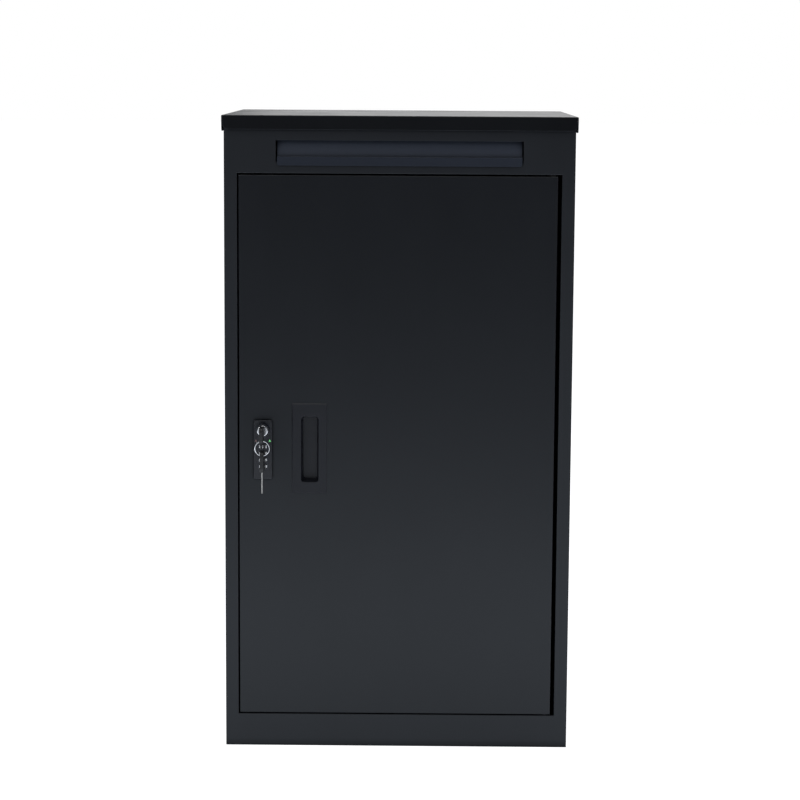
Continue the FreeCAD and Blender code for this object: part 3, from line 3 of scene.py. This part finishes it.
import bmesh
import bpy
from mathutils import Euler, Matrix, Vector


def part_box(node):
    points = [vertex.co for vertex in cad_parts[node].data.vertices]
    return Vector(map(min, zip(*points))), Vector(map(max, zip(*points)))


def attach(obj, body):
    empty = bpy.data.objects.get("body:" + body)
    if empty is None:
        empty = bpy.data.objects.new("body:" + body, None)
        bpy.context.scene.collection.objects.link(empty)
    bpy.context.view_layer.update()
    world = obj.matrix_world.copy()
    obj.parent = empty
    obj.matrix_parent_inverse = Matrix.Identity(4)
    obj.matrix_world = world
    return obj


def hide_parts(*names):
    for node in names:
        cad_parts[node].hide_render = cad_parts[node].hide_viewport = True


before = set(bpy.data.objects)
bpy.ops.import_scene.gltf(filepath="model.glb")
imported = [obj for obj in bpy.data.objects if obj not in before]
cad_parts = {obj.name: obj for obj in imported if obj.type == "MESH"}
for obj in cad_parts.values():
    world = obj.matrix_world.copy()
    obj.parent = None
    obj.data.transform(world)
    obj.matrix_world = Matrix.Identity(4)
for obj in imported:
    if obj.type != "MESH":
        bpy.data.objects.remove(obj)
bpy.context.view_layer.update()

# Looks of the parcel drop box. Metres, +Z up, the front faces -Y and the origin is on the floor under
# the middle of the box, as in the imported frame.

MM = 0.001


# ---------------------------------------------------------------------------------------------------
# Node helpers
# ---------------------------------------------------------------------------------------------------
def node(tree, kind, settings=None, **inputs):
    """Adds a shader node; an underscore in an input's name stands for a space."""
    made = tree.nodes.new("ShaderNode" + kind)
    for key, value in (settings or {}).items():
        setattr(made, key, value)
    for key, value in inputs.items():
        feed(tree, made.inputs[key.replace("_", " ")], value)
    return made


def feed(tree, socket, value):
    """Links an output to the socket, or sets its plain value."""
    if isinstance(value, bpy.types.NodeSocket):
        tree.links.new(value, socket)
    else:
        socket.default_value = value


def calc(tree, operation, first, second=0.0, third=0.0):
    """A math node's result."""
    made = tree.nodes.new("ShaderNodeMath")
    made.operation = operation
    for socket, value in zip(made.inputs, (first, second, third)):
        feed(tree, socket, value)
    return made.outputs[0]


def remap(tree, value, low, high, to_low=0.0, to_high=1.0):
    """Carries value from one range to another, held inside the second."""
    made = node(tree, "MapRange", Value=value, From_Min=low, From_Max=high,
                To_Min=to_low, To_Max=to_high)
    return made.outputs["Result"]


def height_of(tree, vector):
    """The Z part of a vector."""
    return node(tree, "SeparateXYZ", Vector=vector).outputs["Z"]


def blend_colour(tree, share, first, second):
    """A colour between two others."""
    made = tree.nodes.new("ShaderNodeMix")
    made.data_type = "RGBA"
    colours = [s for s in made.inputs if s.type == "RGBA"]
    feed(tree, made.inputs["Factor"], share)
    feed(tree, colours[0], first)
    feed(tree, colours[1], second)
    return [s for s in made.outputs if s.type == "RGBA"][0]


def colour(red, green, blue):
    """An opaque colour."""
    return (red, green, blue, 1.0)


def scaled(base, factor):
    """A colour made lighter or darker."""
    return colour(*[channel * factor for channel in base[:3]])


def noise(tree, size, detail=2.0, roughness=0.5, stretch=None):
    """Noise whose features are about size metres across, fixed to the piece."""
    place = node(tree, "TexCoord").outputs["Object"]
    if stretch:
        mapping = node(tree, "Mapping", Vector=place, Scale=stretch)
        place = mapping.outputs["Vector"]
    made = node(tree, "TexNoise", Vector=place, Scale=1.0 / size, Detail=detail, Roughness=roughness)
    return made.outputs["Fac"]


EDGE_SAMPLES = 6
ROUNDING_SAMPLES = 4
CREVICE_SAMPLES = 8
FLAT_AGREEMENT = 0.995              # rounded and plain normals agree this well on a flat
CORNER_AGREEMENT = 0.86             # and this well on a sharp edge


def edge_mask(tree, radius):
    """1 along sharp edges, 0 on flats and gentle curves."""
    soft = node(tree, "Bevel", {"samples": EDGE_SAMPLES}, Radius=radius).outputs["Normal"]
    plain = node(tree, "NewGeometry").outputs["Normal"]
    agree = node(tree, "VectorMath", {"operation": "DOT_PRODUCT"})
    feed(tree, agree.inputs[0], soft)
    feed(tree, agree.inputs[1], plain)
    return remap(tree, agree.outputs["Value"], FLAT_AGREEMENT, CORNER_AGREEMENT)


def open_share(tree, reach):
    """1 on open faces, falling towards 0 in corners and under overhangs nearer than reach."""
    return node(tree, "AmbientOcclusion", {"samples": CREVICE_SAMPLES}, Distance=reach).outputs["AO"]


def bump_stack(tree, layers, edge_radius):
    """Normals from several (height, depth in metres) layers over a slightly rounded edge."""
    normal = node(tree, "Bevel", {"samples": ROUNDING_SAMPLES}, Radius=edge_radius).outputs["Normal"]
    for height, depth in layers:
        layer = node(tree, "Bump", Height=height, Distance=depth, Strength=1.0, Normal=normal)
        normal = layer.outputs["Normal"]
    return normal


def new_surface(name):
    """An empty material, its node tree and a principled shader wired to the output."""
    material = bpy.data.materials.new(name)
    material.use_nodes = True
    tree = material.node_tree
    tree.nodes.clear()
    shader = tree.nodes.new("ShaderNodeBsdfPrincipled")
    output = tree.nodes.new("ShaderNodeOutputMaterial")
    tree.links.new(shader.outputs["BSDF"], output.inputs["Surface"])
    return material, tree, shader


# ---------------------------------------------------------------------------------------------------
# Materials
# ---------------------------------------------------------------------------------------------------
COAT_TINT = colour(0.93, 0.97, 1.0)  # the coat mirrors its surroundings slightly bluish
# lighter edge colour: thinned powder and a painted highlight along the edges
EDGE_COLOUR = colour(0.055, 0.060, 0.070)
DUST_COLOUR = colour(0.11, 0.115, 0.12)
COAT_PATCH = 280 * MM               # size of the slow changes of shade
COAT_SMEAR = 90 * MM                # wiping marks, drawn out upwards
SMEAR_STRETCH = (1.0, 1.0, 0.35)
ORANGE_PEEL = 2.1 * MM
ORANGE_PEEL_DEEP = 0.035 * MM
POWDER_GRIT = 0.55 * MM
POWDER_GRIT_DEEP = 0.008 * MM
SHEET_WAVE = 160 * MM
SHEET_WAVE_DEEP = 0.25 * MM
COAT_EDGE = 0.9 * MM                # the powder is thin, and a highlight is painted, this close to an edge
FOLD_ROUNDING = 0.35 * MM
ROOF_SHADE = 14 * MM                # painted shade reaches this far down under the roof's edge and into recesses
FOLD_SHADE = 5 * MM
PAINTED_SHADE_SHARE = 0.3                   # share of the coat's colour left in the painted shade
LIP_SHADED_SHARE = 0.42                     # share of the colour and shine left on the flap's lip, which is given painted shade


def coat_colour(tree, base, smears, grit, edge_light):
    """The coat's colour in slow patches, with fine grit, lighter edges (thinned powder and a painted
    highlight) and dust on what faces up; gives the dust as well."""
    patches = noise(tree, COAT_PATCH, detail=3.0)
    edges = edge_mask(tree, COAT_EDGE)
    facing = height_of(tree, node(tree, "NewGeometry").outputs["Normal"])
    settled = remap(tree, smears, 0.35, 0.75, 0.1, 0.55)
    dust = calc(tree, "MULTIPLY", remap(tree, facing, 0.6, 1.0), settled)
    shade = blend_colour(tree, remap(tree, patches, 0.3, 0.7), scaled(base, 0.88), scaled(base, 1.14))
    shade = blend_colour(tree, calc(tree, "MULTIPLY", grit, 0.25), shade, scaled(base, 1.9))
    shade = blend_colour(tree, calc(tree, "MULTIPLY", edges, edge_light), shade, EDGE_COLOUR)
    shade = blend_colour(tree, calc(tree, "MULTIPLY", dust, 0.08), shade, DUST_COLOUR)
    return shade, dust


def cleanness(tree, shade_reach, shaded_below):
    """1 where the coat is unshaded; less in the painted shade of crevices and overhangs, and below a share
    of the piece's height.
    """
    unshaded = remap(tree, open_share(tree, shade_reach), 0.35, 0.95, 0.25, 1.0)
    # painted shade below shaded_below: the flap's lip is made darker and less shiny
    if shaded_below:
        height = height_of(tree, node(tree, "TexCoord").outputs["Generated"])
        lip_unshaded = remap(tree, height, shaded_below - 0.02, shaded_below + 0.02, LIP_SHADED_SHARE, 1.0)
        unshaded = calc(tree, "MULTIPLY", unshaded, lip_unshaded)
    return unshaded


def powder_coat(name, base, gloss_roughness, specular=0.35, edge_light=0.5, shade_reach=FOLD_SHADE,
                shaded_below=0.0):
    """Satin powder coat on folded sheet: fine orange peel, a slight wave in the sheet, lighter edges where
    the powder draws back and a highlight is painted, a little dust on what faces up and painted shade in
    the crevices and under overhangs. The part below shaded_below, a share of the piece's height, is given
    painted shade in colour and shine."""
    material, tree, shader = new_surface(name)
    smears = noise(tree, COAT_SMEAR, detail=4.0, roughness=0.6, stretch=SMEAR_STRETCH)
    peel = noise(tree, ORANGE_PEEL, detail=2.0, roughness=0.55)
    grit = noise(tree, POWDER_GRIT, detail=1.0)
    wave = noise(tree, SHEET_WAVE, detail=1.0)
    shade, dust = coat_colour(tree, base, smears, grit, edge_light)
    unshaded = cleanness(tree, shade_reach, shaded_below)
    # painted shade: the coat's colour darkens in crevices, under overhangs and on the flap's lip
    shade = blend_colour(tree, unshaded, scaled(base, PAINTED_SHADE_SHARE), shade)
    rough = calc(tree, "ADD", gloss_roughness - 0.04, calc(tree, "MULTIPLY", smears, 0.08))
    rough = calc(tree, "ADD", rough, calc(tree, "MULTIPLY", dust, 0.12))
    feed(tree, shader.inputs["Base Color"], shade)
    feed(tree, shader.inputs["Roughness"], rough)
    # painted shade: the shine falls there as well
    feed(tree, shader.inputs["Specular IOR Level"], calc(tree, "MULTIPLY", unshaded, specular))
    feed(tree, shader.inputs["Specular Tint"], COAT_TINT)
    layers = [(wave, SHEET_WAVE_DEEP), (peel, ORANGE_PEEL_DEEP), (grit, POWDER_GRIT_DEEP)]
    feed(tree, shader.inputs["Normal"], bump_stack(tree, layers, FOLD_ROUNDING))
    return material


PLASTIC_GRAIN = 0.6 * MM
PLASTIC_GRAIN_DEEP = 0.02 * MM
PLASTIC_PATCH = 20 * MM
PLASTIC_ROUNDING = 0.2 * MM
EDGE_WEAR_AND_HIGHLIGHT = 6.0                  # edges are this many times lighter, by wear and a painted highlight


def moulded_plastic(name, base, roughness, specular=0.45, edge_light=0.45, edge_width=0.5 * MM):
    """Moulded plastic with a spark-eroded grain, worn smoother at the edges and lighter there by wear and
    a painted highlight.
    """
    material, tree, shader = new_surface(name)
    grain = noise(tree, PLASTIC_GRAIN, detail=3.0, roughness=0.6)
    patches = noise(tree, PLASTIC_PATCH, detail=2.0)
    edges = edge_mask(tree, edge_width)
    shade = blend_colour(tree, patches, scaled(base, 0.85), scaled(base, 1.2))
    worn_and_highlit = calc(tree, "MULTIPLY", edges, edge_light)
    shade = blend_colour(tree, worn_and_highlit, shade, scaled(base, EDGE_WEAR_AND_HIGHLIGHT))
    rough = calc(tree, "SUBTRACT", roughness, calc(tree, "MULTIPLY", edges, 0.12))
    feed(tree, shader.inputs["Base Color"], shade)
    feed(tree, shader.inputs["Roughness"], rough)
    feed(tree, shader.inputs["Specular IOR Level"], specular)
    layers = [(grain, PLASTIC_GRAIN_DEEP)]
    feed(tree, shader.inputs["Normal"], bump_stack(tree, layers, PLASTIC_ROUNDING))
    return material


SCRATCH = 1.2 * MM
SCRATCH_DEEP = 0.006 * MM
TARNISH_PATCH = 6 * MM
METAL_EDGE = 0.4 * MM
METAL_ROUNDING = 0.15 * MM


def plated_metal(name, base, roughness, brushing=None, tarnish=0.25):
    """Plated or polished metal with fine handling scratches and a little tarnish in patches."""
    material, tree, shader = new_surface(name)
    scratches = noise(tree, SCRATCH, detail=4.0, roughness=0.7, stretch=brushing or (1.0, 1.0, 1.0))
    patches = noise(tree, TARNISH_PATCH, detail=3.0)
    edges = edge_mask(tree, METAL_EDGE)
    shade = blend_colour(tree, calc(tree, "MULTIPLY", patches, tarnish), base, scaled(base, 0.55))
    shade = blend_colour(tree, calc(tree, "MULTIPLY", edges, 0.4), shade, scaled(base, 1.15))
    rough = calc(tree, "ADD", roughness, calc(tree, "MULTIPLY", scratches, roughness * 0.8))
    feed(tree, shader.inputs["Base Color"], shade)
    feed(tree, shader.inputs["Metallic"], 1.0)
    feed(tree, shader.inputs["Roughness"], rough)
    layers = [(scratches, SCRATCH_DEEP)]
    feed(tree, shader.inputs["Normal"], bump_stack(tree, layers, METAL_ROUNDING))
    return material


RUBBER_COLOUR = colour(0.012, 0.012, 0.013)
BLOOM_COLOUR = colour(0.035, 0.035, 0.036)
BLOOM_PATCH = 12 * MM
RUBBER_PORE = 0.9 * MM
RUBBER_PORE_DEEP = 0.03 * MM
RUBBER_ROUNDING = 0.3 * MM


def rubber(name):
    """Extruded black rubber with a chalky bloom."""
    material, tree, shader = new_surface(name)
    bloom = noise(tree, BLOOM_PATCH, detail=4.0, roughness=0.65)
    pores = noise(tree, RUBBER_PORE, detail=2.0)
    shade = blend_colour(tree, remap(tree, bloom, 0.45, 0.8), RUBBER_COLOUR, BLOOM_COLOUR)
    feed(tree, shader.inputs["Base Color"], shade)
    feed(tree, shader.inputs["Roughness"], remap(tree, bloom, 0.3, 0.8, 0.62, 0.82))
    layers = [(pores, RUBBER_PORE_DEEP)]
    feed(tree, shader.inputs["Normal"], bump_stack(tree, layers, RUBBER_ROUNDING))
    return material


BRUSH_MARK = 1.1 * MM
BRUSH_MARK_DEEP = 0.03 * MM
PAINT_ROUNDING = 0.05 * MM


def paint_fill(name, base, glow=0.0):
    """Enamel paint in a small figure or mark, with a slightly uneven brush-filled surface and a faint
    painted glow.
    """
    material, tree, shader = new_surface(name)
    uneven = noise(tree, BRUSH_MARK, detail=3.0, roughness=0.6)
    shade = blend_colour(tree, uneven, scaled(base, 0.82), scaled(base, 1.08))
    feed(tree, shader.inputs["Base Color"], shade)
    feed(tree, shader.inputs["Roughness"], remap(tree, uneven, 0.3, 0.7, 0.28, 0.45))
    # painted light: the paint glows by the glow strength, though nothing lights it from inside
    feed(tree, shader.inputs["Emission Color"], base)
    feed(tree, shader.inputs["Emission Strength"], glow)
    layers = [(uneven, BRUSH_MARK_DEEP)]
    feed(tree, shader.inputs["Normal"], bump_stack(tree, layers, PAINT_ROUNDING))
    return material


CHARCOAL = colour(0.0075, 0.0085, 0.0112)
# the flap's coat is a lighter, bluer copy of the charcoal: painted light that its leaning panel catches
SLATE = colour(0.031, 0.037, 0.053)
FLAP_CREASE_SHARE = 0.305           # the flap's lip is this share of its height
DRAWN_UP = (1.0, 1.0, 0.2)          # scratches run up and down
ALONG_BLADE = (0.3, 1.0, 0.3)


def coats():
    """The powder coats, by name."""
    return {
        "door_coat": powder_coat("door_powder_coat", scaled(CHARCOAL, 0.8), 0.34),
        # painted shade under the roof's edge
        "frame_coat": powder_coat("frame_powder_coat", CHARCOAL, 0.44, specular=0.38, shade_reach=ROOF_SHADE),
        # painted highlight: the roof's edges are made strongly lighter
        "roof_coat": powder_coat("roof_powder_coat", scaled(CHARCOAL, 0.4), 0.34, specular=0.28,
                                 edge_light=1.0),
        # painted shade under the slot's top edge and on the lip below the crease
        "flap_coat": powder_coat("flap_powder_coat", SLATE, 0.42, specular=0.45, shade_reach=ROOF_SHADE,
                                 shaded_below=FLAP_CREASE_SHARE),
        "inner_coat": powder_coat("inner_powder_coat", CHARCOAL, 0.5),
    }


def metals():
    """The bare and plated metals, by name."""
    return {
        "zinc": plated_metal("zinc_plate", colour(0.60, 0.61, 0.58), 0.28, brushing=DRAWN_UP, tarnish=0.4),
        "chrome": plated_metal("chrome_plate", colour(0.90, 0.91, 0.93), 0.10, tarnish=0.1),
        "key_nickel": plated_metal("key_nickel", colour(0.50, 0.49, 0.47), 0.32, brushing=ALONG_BLADE),
        "black_oxide": plated_metal("black_oxide", colour(0.045, 0.045, 0.050), 0.42),
    }


def plastics():
    """The plastics and the rubber, by name."""
    return {
        "rubber": rubber("black_rubber"),
        "nylon": moulded_plastic("black_nylon", colour(0.020, 0.020, 0.021), 0.5),
        "handle": moulded_plastic("handle_plastic", colour(0.0078, 0.0090, 0.0130), 0.40, specular=0.30,
                                  edge_light=0.1),
        # painted highlight with wear: the lock's edges are made strongly lighter over a wide band
        "lock_black": moulded_plastic("lock_satin_black", colour(0.0088, 0.0100, 0.0140), 0.34,
                                      edge_light=0.9, edge_width=1.1 * MM),
        "bow": moulded_plastic("key_bow_plastic", colour(0.012, 0.0125, 0.014), 0.48),
        "dial": moulded_plastic("dial_plastic", colour(0.009, 0.009, 0.010), 0.3),
    }


def paints():
    """The paint in the dials' figures and the two marks, by name."""
    return {
        # the glow values are painted light that brightens the figures and marks
        "figure": paint_fill("dial_figure_white", colour(0.80, 0.81, 0.82), glow=0.05),
        "red": paint_fill("mark_red", colour(0.17, 0.10, 0.10), glow=0.01),
        "green": paint_fill("mark_green", colour(0.24, 0.84, 0.28), glow=0.18),
    }


# Which CAD nodes wear which finish.
FINISHES = {
    "door_coat": ["door_panel"],
    "frame_coat": ["front_frame", "left_side_panel", "right_side_panel", "back_panel", "back_rivets",
                   "lid_hinge_body_leaf", "lid_hinge_body_rivets", "lid_hinge_leaf"],
    "roof_coat": ["roof_lid"],
    "flap_coat": ["slot_flap"],
    "inner_coat": ["base_panel", "frame_pivot_plates", "door_stops", "lid_stiffener", "lid_hinge_rivets",
                   "lid_link_brackets", "left_link_bar", "right_link_bar", "drop_tray", "tray_brackets",
                   "flap_brackets", "slot_baffle", "letter_ramp", "door_stiffener",
                   "door_pivot_plates"],
    "black_oxide": ["door_pivot_pins"],
    "zinc": ["lid_hinge_pin", "lid_link_pins", "tray_link_pins", "tray_rod", "flap_rod",
             "lock_clamp", "lock_clamp_screws", "lock_cover", "lock_cover_screws", "dial_shaft",
             "lock_spindle", "lock_cam", "cam_screw", "detent_spring"],
    "chrome": ["key_plug"],
    "key_nickel": ["key_blade", "spare_key_blade"],
    "rubber": ["lid_seal", "door_bumpers"],
    "nylon": ["door_bushes"],
    "handle": ["recessed_handle", "handle_retainer"],
    "lock_black": ["lock_housing", "lock_knob"],
    "bow": ["key_bow", "spare_key_bow"],
    "dial": ["dial_wheel_%d" % number for number in range(1, 5)],
    "red": ["status_mark_red"],
    "green": ["status_mark_green"],
}


def dress(piece, material):
    """Gives a piece one material."""
    piece.data.materials.clear()
    piece.data.materials.append(material)


def dress_cad_nodes(materials):
    """Gives every carried-over CAD node its finish."""
    for finish, names in FINISHES.items():
        for name in names:
            dress(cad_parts[name], materials[finish])


# ---------------------------------------------------------------------------------------------------
# Pieces
# ---------------------------------------------------------------------------------------------------
def new_piece(name, mesh, material, body):
    """Puts a mesh in the scene as a piece on a body."""
    piece = bpy.data.objects.new(name, mesh)
    bpy.context.scene.collection.objects.link(piece)
    dress(piece, material)
    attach(piece, body)
    return piece


FIGURE_HEIGHT = 4.0 * MM
FIGURE_RAISE = 0.10 * MM
FIGURE_BOLD = 0.13 * MM
FIGURE_CURVE_STEPS = 3
FIGURE_CLEAR = 0.02 * MM            # the figures stand this far off the wheel's rim
DIGITS = 10
SHOWN_DIGITS = (1, 0, 0, 0)         # the figure at the front of each dial, from the top


def flat_figure(text):
    """A figure as a mesh, centred, facing +Z, at its real height."""
    curve = bpy.data.curves.new("figure", "FONT")
    curve.body = text
    curve.align_x = "CENTER"
    curve.extrude = FIGURE_RAISE
    curve.resolution_u = FIGURE_CURVE_STEPS
    shape = bpy.data.objects.new("figure", curve)
    bpy.context.scene.collection.objects.link(shape)
    bpy.context.view_layer.update()
    curve.size = FIGURE_HEIGHT / shape.dimensions.y
    curve.offset = FIGURE_BOLD
    bpy.context.view_layer.update()
    mesh = bpy.data.meshes.new_from_object(shape.evaluated_get(bpy.context.evaluated_depsgraph_get()))
    bpy.data.objects.remove(shape)
    heights = [v.co.y for v in mesh.vertices]
    lift = (min(heights) + max(heights)) / 2
    for vertex in mesh.vertices:
        vertex.co.y -= lift
    return mesh


def dial_figures(number, shown, material):
    """Raised figures 0 to 9 around one dial; they count up towards the left as seen from the front."""
    wheel = "dial_wheel_%d" % number
    low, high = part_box(wheel)
    axis = (low + high) / 2
    radius = (high.x - low.x) / 2 + FIGURE_CLEAR
    build = bmesh.new()
    for digit in range(DIGITS):
        turn = (digit - shown) * 2 * math.pi / DIGITS
        flat = flat_figure(str(digit))
        for vertex in flat.vertices:
            angle = turn - vertex.co.x / radius
            out = radius + vertex.co.z
            vertex.co = Vector((axis.x - out * math.sin(angle), axis.y - out * math.cos(angle),
                                axis.z + vertex.co.y))
        build.from_mesh(flat)
        bpy.data.meshes.remove(flat)
    mesh = bpy.data.meshes.new("dial_figures_%d" % number)
    build.to_mesh(mesh)
    build.free()
    return new_piece("dial_figures_%d" % number, mesh, material, "dial_%d" % number)


def sweep(name, places, frames, section):
    """A skin over copies of a section outline: frames gives the two section directions at each place."""
    build = bmesh.new()
    loops = []
    for place, (side, up) in zip(places, frames):
        loops.append([build.verts.new(place + side * a + up * b) for a, b in section])
    count = len(section)
    for first, second in zip(loops, loops[1:]):
        for i in range(count):
            j = (i + 1) % count
            build.faces.new((first[i], first[j], second[j], second[i]))
    build.faces.new(list(reversed(loops[0])))
    build.faces.new(loops[-1])
    bmesh.ops.recalc_face_normals(build, faces=build.faces)
    mesh = bpy.data.meshes.new(name)
    build.to_mesh(mesh)
    build.free()
    for face in mesh.polygons:
        face.use_smooth = True
    return mesh


RING_TURNS = 1.94
RING_STEPS = 150
RING_START = math.radians(215)
CROSSING_START = 0.86               # turns before the wire steps across to its other side
CROSSING_TURNS = 0.2
LAY = 0.52                          # centre of each turn off the ring's middle, in wire radii
STRIP_DEEP = 0.66                   # half the strip's section outwards, in wire radii
STRIP_WIDE = 0.44                   # and along the ring's axis
CORNER_SHARE = 0.45                 # corner radius as a share of the half width
CORNER_STEPS = 2


def strip_section(deep, wide):
    """Outline of a flat strip with rounded corners: half sizes outwards and along the ring's axis."""
    corner = wide * CORNER_SHARE
    section = []
    for quarter, (x_sign, y_sign) in enumerate(((1, 1), (-1, 1), (-1, -1), (1, -1))):
        for step in range(CORNER_STEPS + 1):
            angle = math.radians(90) * (quarter + step / CORNER_STEPS)
            section.append((x_sign * (deep - corner) + corner * math.cos(angle),
                            y_sign * (wide - corner) + corner * math.sin(angle)))
    return section


def side_of_ring(turns):
    """Where the wire lies along the ring's axis after some turns: -1 on one side, 1 on the other."""
    crossing = max(0.0, min(1.0, (turns - CROSSING_START) / CROSSING_TURNS))
    ease = crossing * crossing * (3 - 2 * crossing)
    return 2 * ease - 1


def split_ring(material):
    """Spring-steel split ring: two flat turns side by side, stepping across near the bottom left."""
    low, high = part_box("key_ring")
    centre = (low + high) / 2
    wire = (high.y - low.y) / 2
    radius = (high.x - low.x) / 2 - wire
    places = []
    frames = []
    for step in range(RING_STEPS + 1):
        turns = step / RING_STEPS * RING_TURNS
        angle = RING_START + turns * 2 * math.pi
        out = Vector((math.cos(angle), 0.0, math.sin(angle)))
        along = Vector((0.0, wire * LAY * side_of_ring(turns), 0.0))
        places.append(centre + out * radius + along)
        frames.append((out, Vector((0.0, 1.0, 0.0))))
    section = strip_section(wire * STRIP_DEEP, wire * STRIP_WIDE)
    mesh = sweep("split_ring", places, frames, section)
    piece = new_piece("split_ring", mesh, material, "key_ring")
    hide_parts("key_ring")
    return piece


# ---------------------------------------------------------------------------------------------------
# Stage: floor, surroundings, lights and camera
# ---------------------------------------------------------------------------------------------------
FLOOR_RADIUS = 40.0
FLOOR_SEGMENTS = 96
FLOOR_DROP = 0.4 * MM               # the floor lies this far under the box
FLOOR_CLOUD = 1.2                   # size of the faint changes of shade
SHADED_RADIUS = 0.3                 # the box shades the floor up to here
LIT_RADIUS = 1.2                    # the floor is fully lit here
DARK_RADIUS = 4.2                   # and dark beyond here, as its mirror image in the door shows
FLOOR_GLOW = 1.5
SHADED_SHARE = 0.52                 # share of the glow left where the box shades the floor
FLOOR_SEEN = 0.98                   # glow that the camera sees
COOL_WHITE = colour(0.86, 0.92, 1.0)
PLAIN_WHITE = colour(0.99, 0.995, 1.0)


def pale_floor():
    """A plain white floor, lit around the box only."""
    material, tree, shader = new_surface("stage_floor")
    cloud = noise(tree, FLOOR_CLOUD)
    shade = blend_colour(tree, cloud, colour(0.50, 0.50, 0.51), colour(0.54, 0.54, 0.54))
    reach = node(tree, "VectorMath", {"operation": "LENGTH"})
    feed(tree, reach.inputs[0], node(tree, "TexCoord").outputs["Object"])
    radius = reach.outputs["Value"]
    fall = remap(tree, radius, LIT_RADIUS, DARK_RADIUS, FLOOR_GLOW, 0.0)
    glow = calc(tree, "MULTIPLY", fall, remap(tree, radius, SHADED_RADIUS, LIT_RADIUS, SHADED_SHARE, 1.0))
    seen = node(tree, "LightPath").outputs["Is Camera Ray"]
    unseen = calc(tree, "SUBTRACT", 1.0, seen)
    glow = calc(tree, "MULTIPLY_ADD", glow, unseen, calc(tree, "MULTIPLY", seen, FLOOR_SEEN))
    feed(tree, shader.inputs["Base Color"], shade)
    feed(tree, shader.inputs["Roughness"], 0.7)
    feed(tree, shader.inputs["Specular IOR Level"], 0.1)
    feed(tree, shader.inputs["Emission Color"], blend_colour(tree, seen, COOL_WHITE, PLAIN_WHITE))
    feed(tree, shader.inputs["Emission Strength"], glow)
    build = bmesh.new()
    bmesh.ops.create_circle(build, cap_ends=True, radius=FLOOR_RADIUS, segments=FLOOR_SEGMENTS)
    mesh = bpy.data.meshes.new("floor")
    build.to_mesh(mesh)
    build.free()
    floor = bpy.data.objects.new("floor", mesh)
    floor.location.z = -FLOOR_DROP
    bpy.context.scene.collection.objects.link(floor)
    dress(floor, material)


FRONT_LEVEL = 0.018                 # how bright the studio is, seen from the box
BEHIND_LEVEL = 0.20
ABOVE_LEVEL = 0.22                  # added towards the top
STUDIO_TINT = colour(0.94, 0.96, 1.0)


def surroundings():
    """White to the camera; to everything else a studio that is bright behind the box and dim in front."""
    world = bpy.data.worlds.new("studio")
    bpy.context.scene.world = world
    world.use_nodes = True
    tree = world.node_tree
    tree.nodes.clear()
    direction = node(tree, "TexCoord").outputs["Generated"]
    parts = node(tree, "SeparateXYZ", Vector=direction)
    behind = remap(tree, parts.outputs["Y"], -0.1, 0.9, FRONT_LEVEL, BEHIND_LEVEL)
    above = remap(tree, parts.outputs["Z"], 0.1, 0.9, 0.0, ABOVE_LEVEL)
    level = calc(tree, "ADD", behind, above)
    seen = node(tree, "LightPath").outputs["Is Camera Ray"]
    level = calc(tree, "MAXIMUM", level, seen)
    tint = blend_colour(tree, seen, STUDIO_TINT, colour(1.0, 1.0, 1.0))
    background = node(tree, "Background", Color=tint, Strength=level)
    output = tree.nodes.new("ShaderNodeOutputWorld")
    tree.links.new(background.outputs[0], output.inputs["Surface"])


def softbox(name, place, target, width, height, watts):
    """A rectangular area light aimed at a point."""
    light = bpy.data.lights.new(name, "AREA")
    light.shape = "RECTANGLE"
    light.size = width
    light.size_y = height
    light.energy = watts
    lamp = bpy.data.objects.new(name, light)
    lamp.location = place
    aim = Vector(target) - Vector(place)
    lamp.rotation_euler = aim.to_track_quat("-Z", "Y").to_euler()
    bpy.context.scene.collection.objects.link(lamp)


def lights():
    """Soft light from above, both sides of the front and behind."""
    softbox("overhead", (0.0, -0.7, 3.4), (0.0, -0.2, 0.4), 2.2, 1.8, 24)
    softbox("front_left", (-2.5, -3.2, 2.5), (0.0, 0.0, 0.6), 1.2, 1.4, 26)
    softbox("front_right", (2.8, -2.6, 1.7), (0.0, 0.0, 0.5), 1.4, 2.0, 8)
    softbox("rear", (0.6, 3.2, 2.2), (0.0, 0.0, 0.6), 2.4, 1.8, 20)


CAMERA_PLACE = (0.027, -3.8355, 1.0784)
CAMERA_YAW = -0.382                 # degrees, positive to the right
CAMERA_PITCH = -8.18                # degrees, negative below the horizon
CAMERA_ROLL = 0.363                 # degrees, anticlockwise from behind the camera
CAMERA_LENS = 105.05                # millimetres
CAMERA_SENSOR = 36.0                # millimetres wide
CAMERA_FAR = 60.0


def camera():
    """The camera at the viewing angle of the reference view."""
    data = bpy.data.cameras.new("camera")
    data.sensor_width = CAMERA_SENSOR
    data.lens = CAMERA_LENS
    data.clip_end = CAMERA_FAR
    shot = bpy.data.objects.new("camera", data)
    shot.location = CAMERA_PLACE
    aim = Euler((math.radians(90 + CAMERA_PITCH), 0.0, math.radians(-CAMERA_YAW)), "XYZ").to_matrix()
    roll = Euler((0.0, 0.0, math.radians(CAMERA_ROLL)), "XYZ").to_matrix()
    shot.rotation_euler = (aim @ roll).to_euler()
    bpy.context.scene.collection.objects.link(shot)
    bpy.context.scene.camera = shot


# ---------------------------------------------------------------------------------------------------
# Build
# ---------------------------------------------------------------------------------------------------
materials = {**coats(), **metals(), **plastics(), **paints()}
dress_cad_nodes(materials)
for place, shown in enumerate(SHOWN_DIGITS, start=1):
    dial_figures(place, shown, materials["figure"])
split_ring(materials["chrome"])
pale_floor()
surroundings()
lights()
camera()
bpy.context.scene.view_settings.view_transform = "Standard"
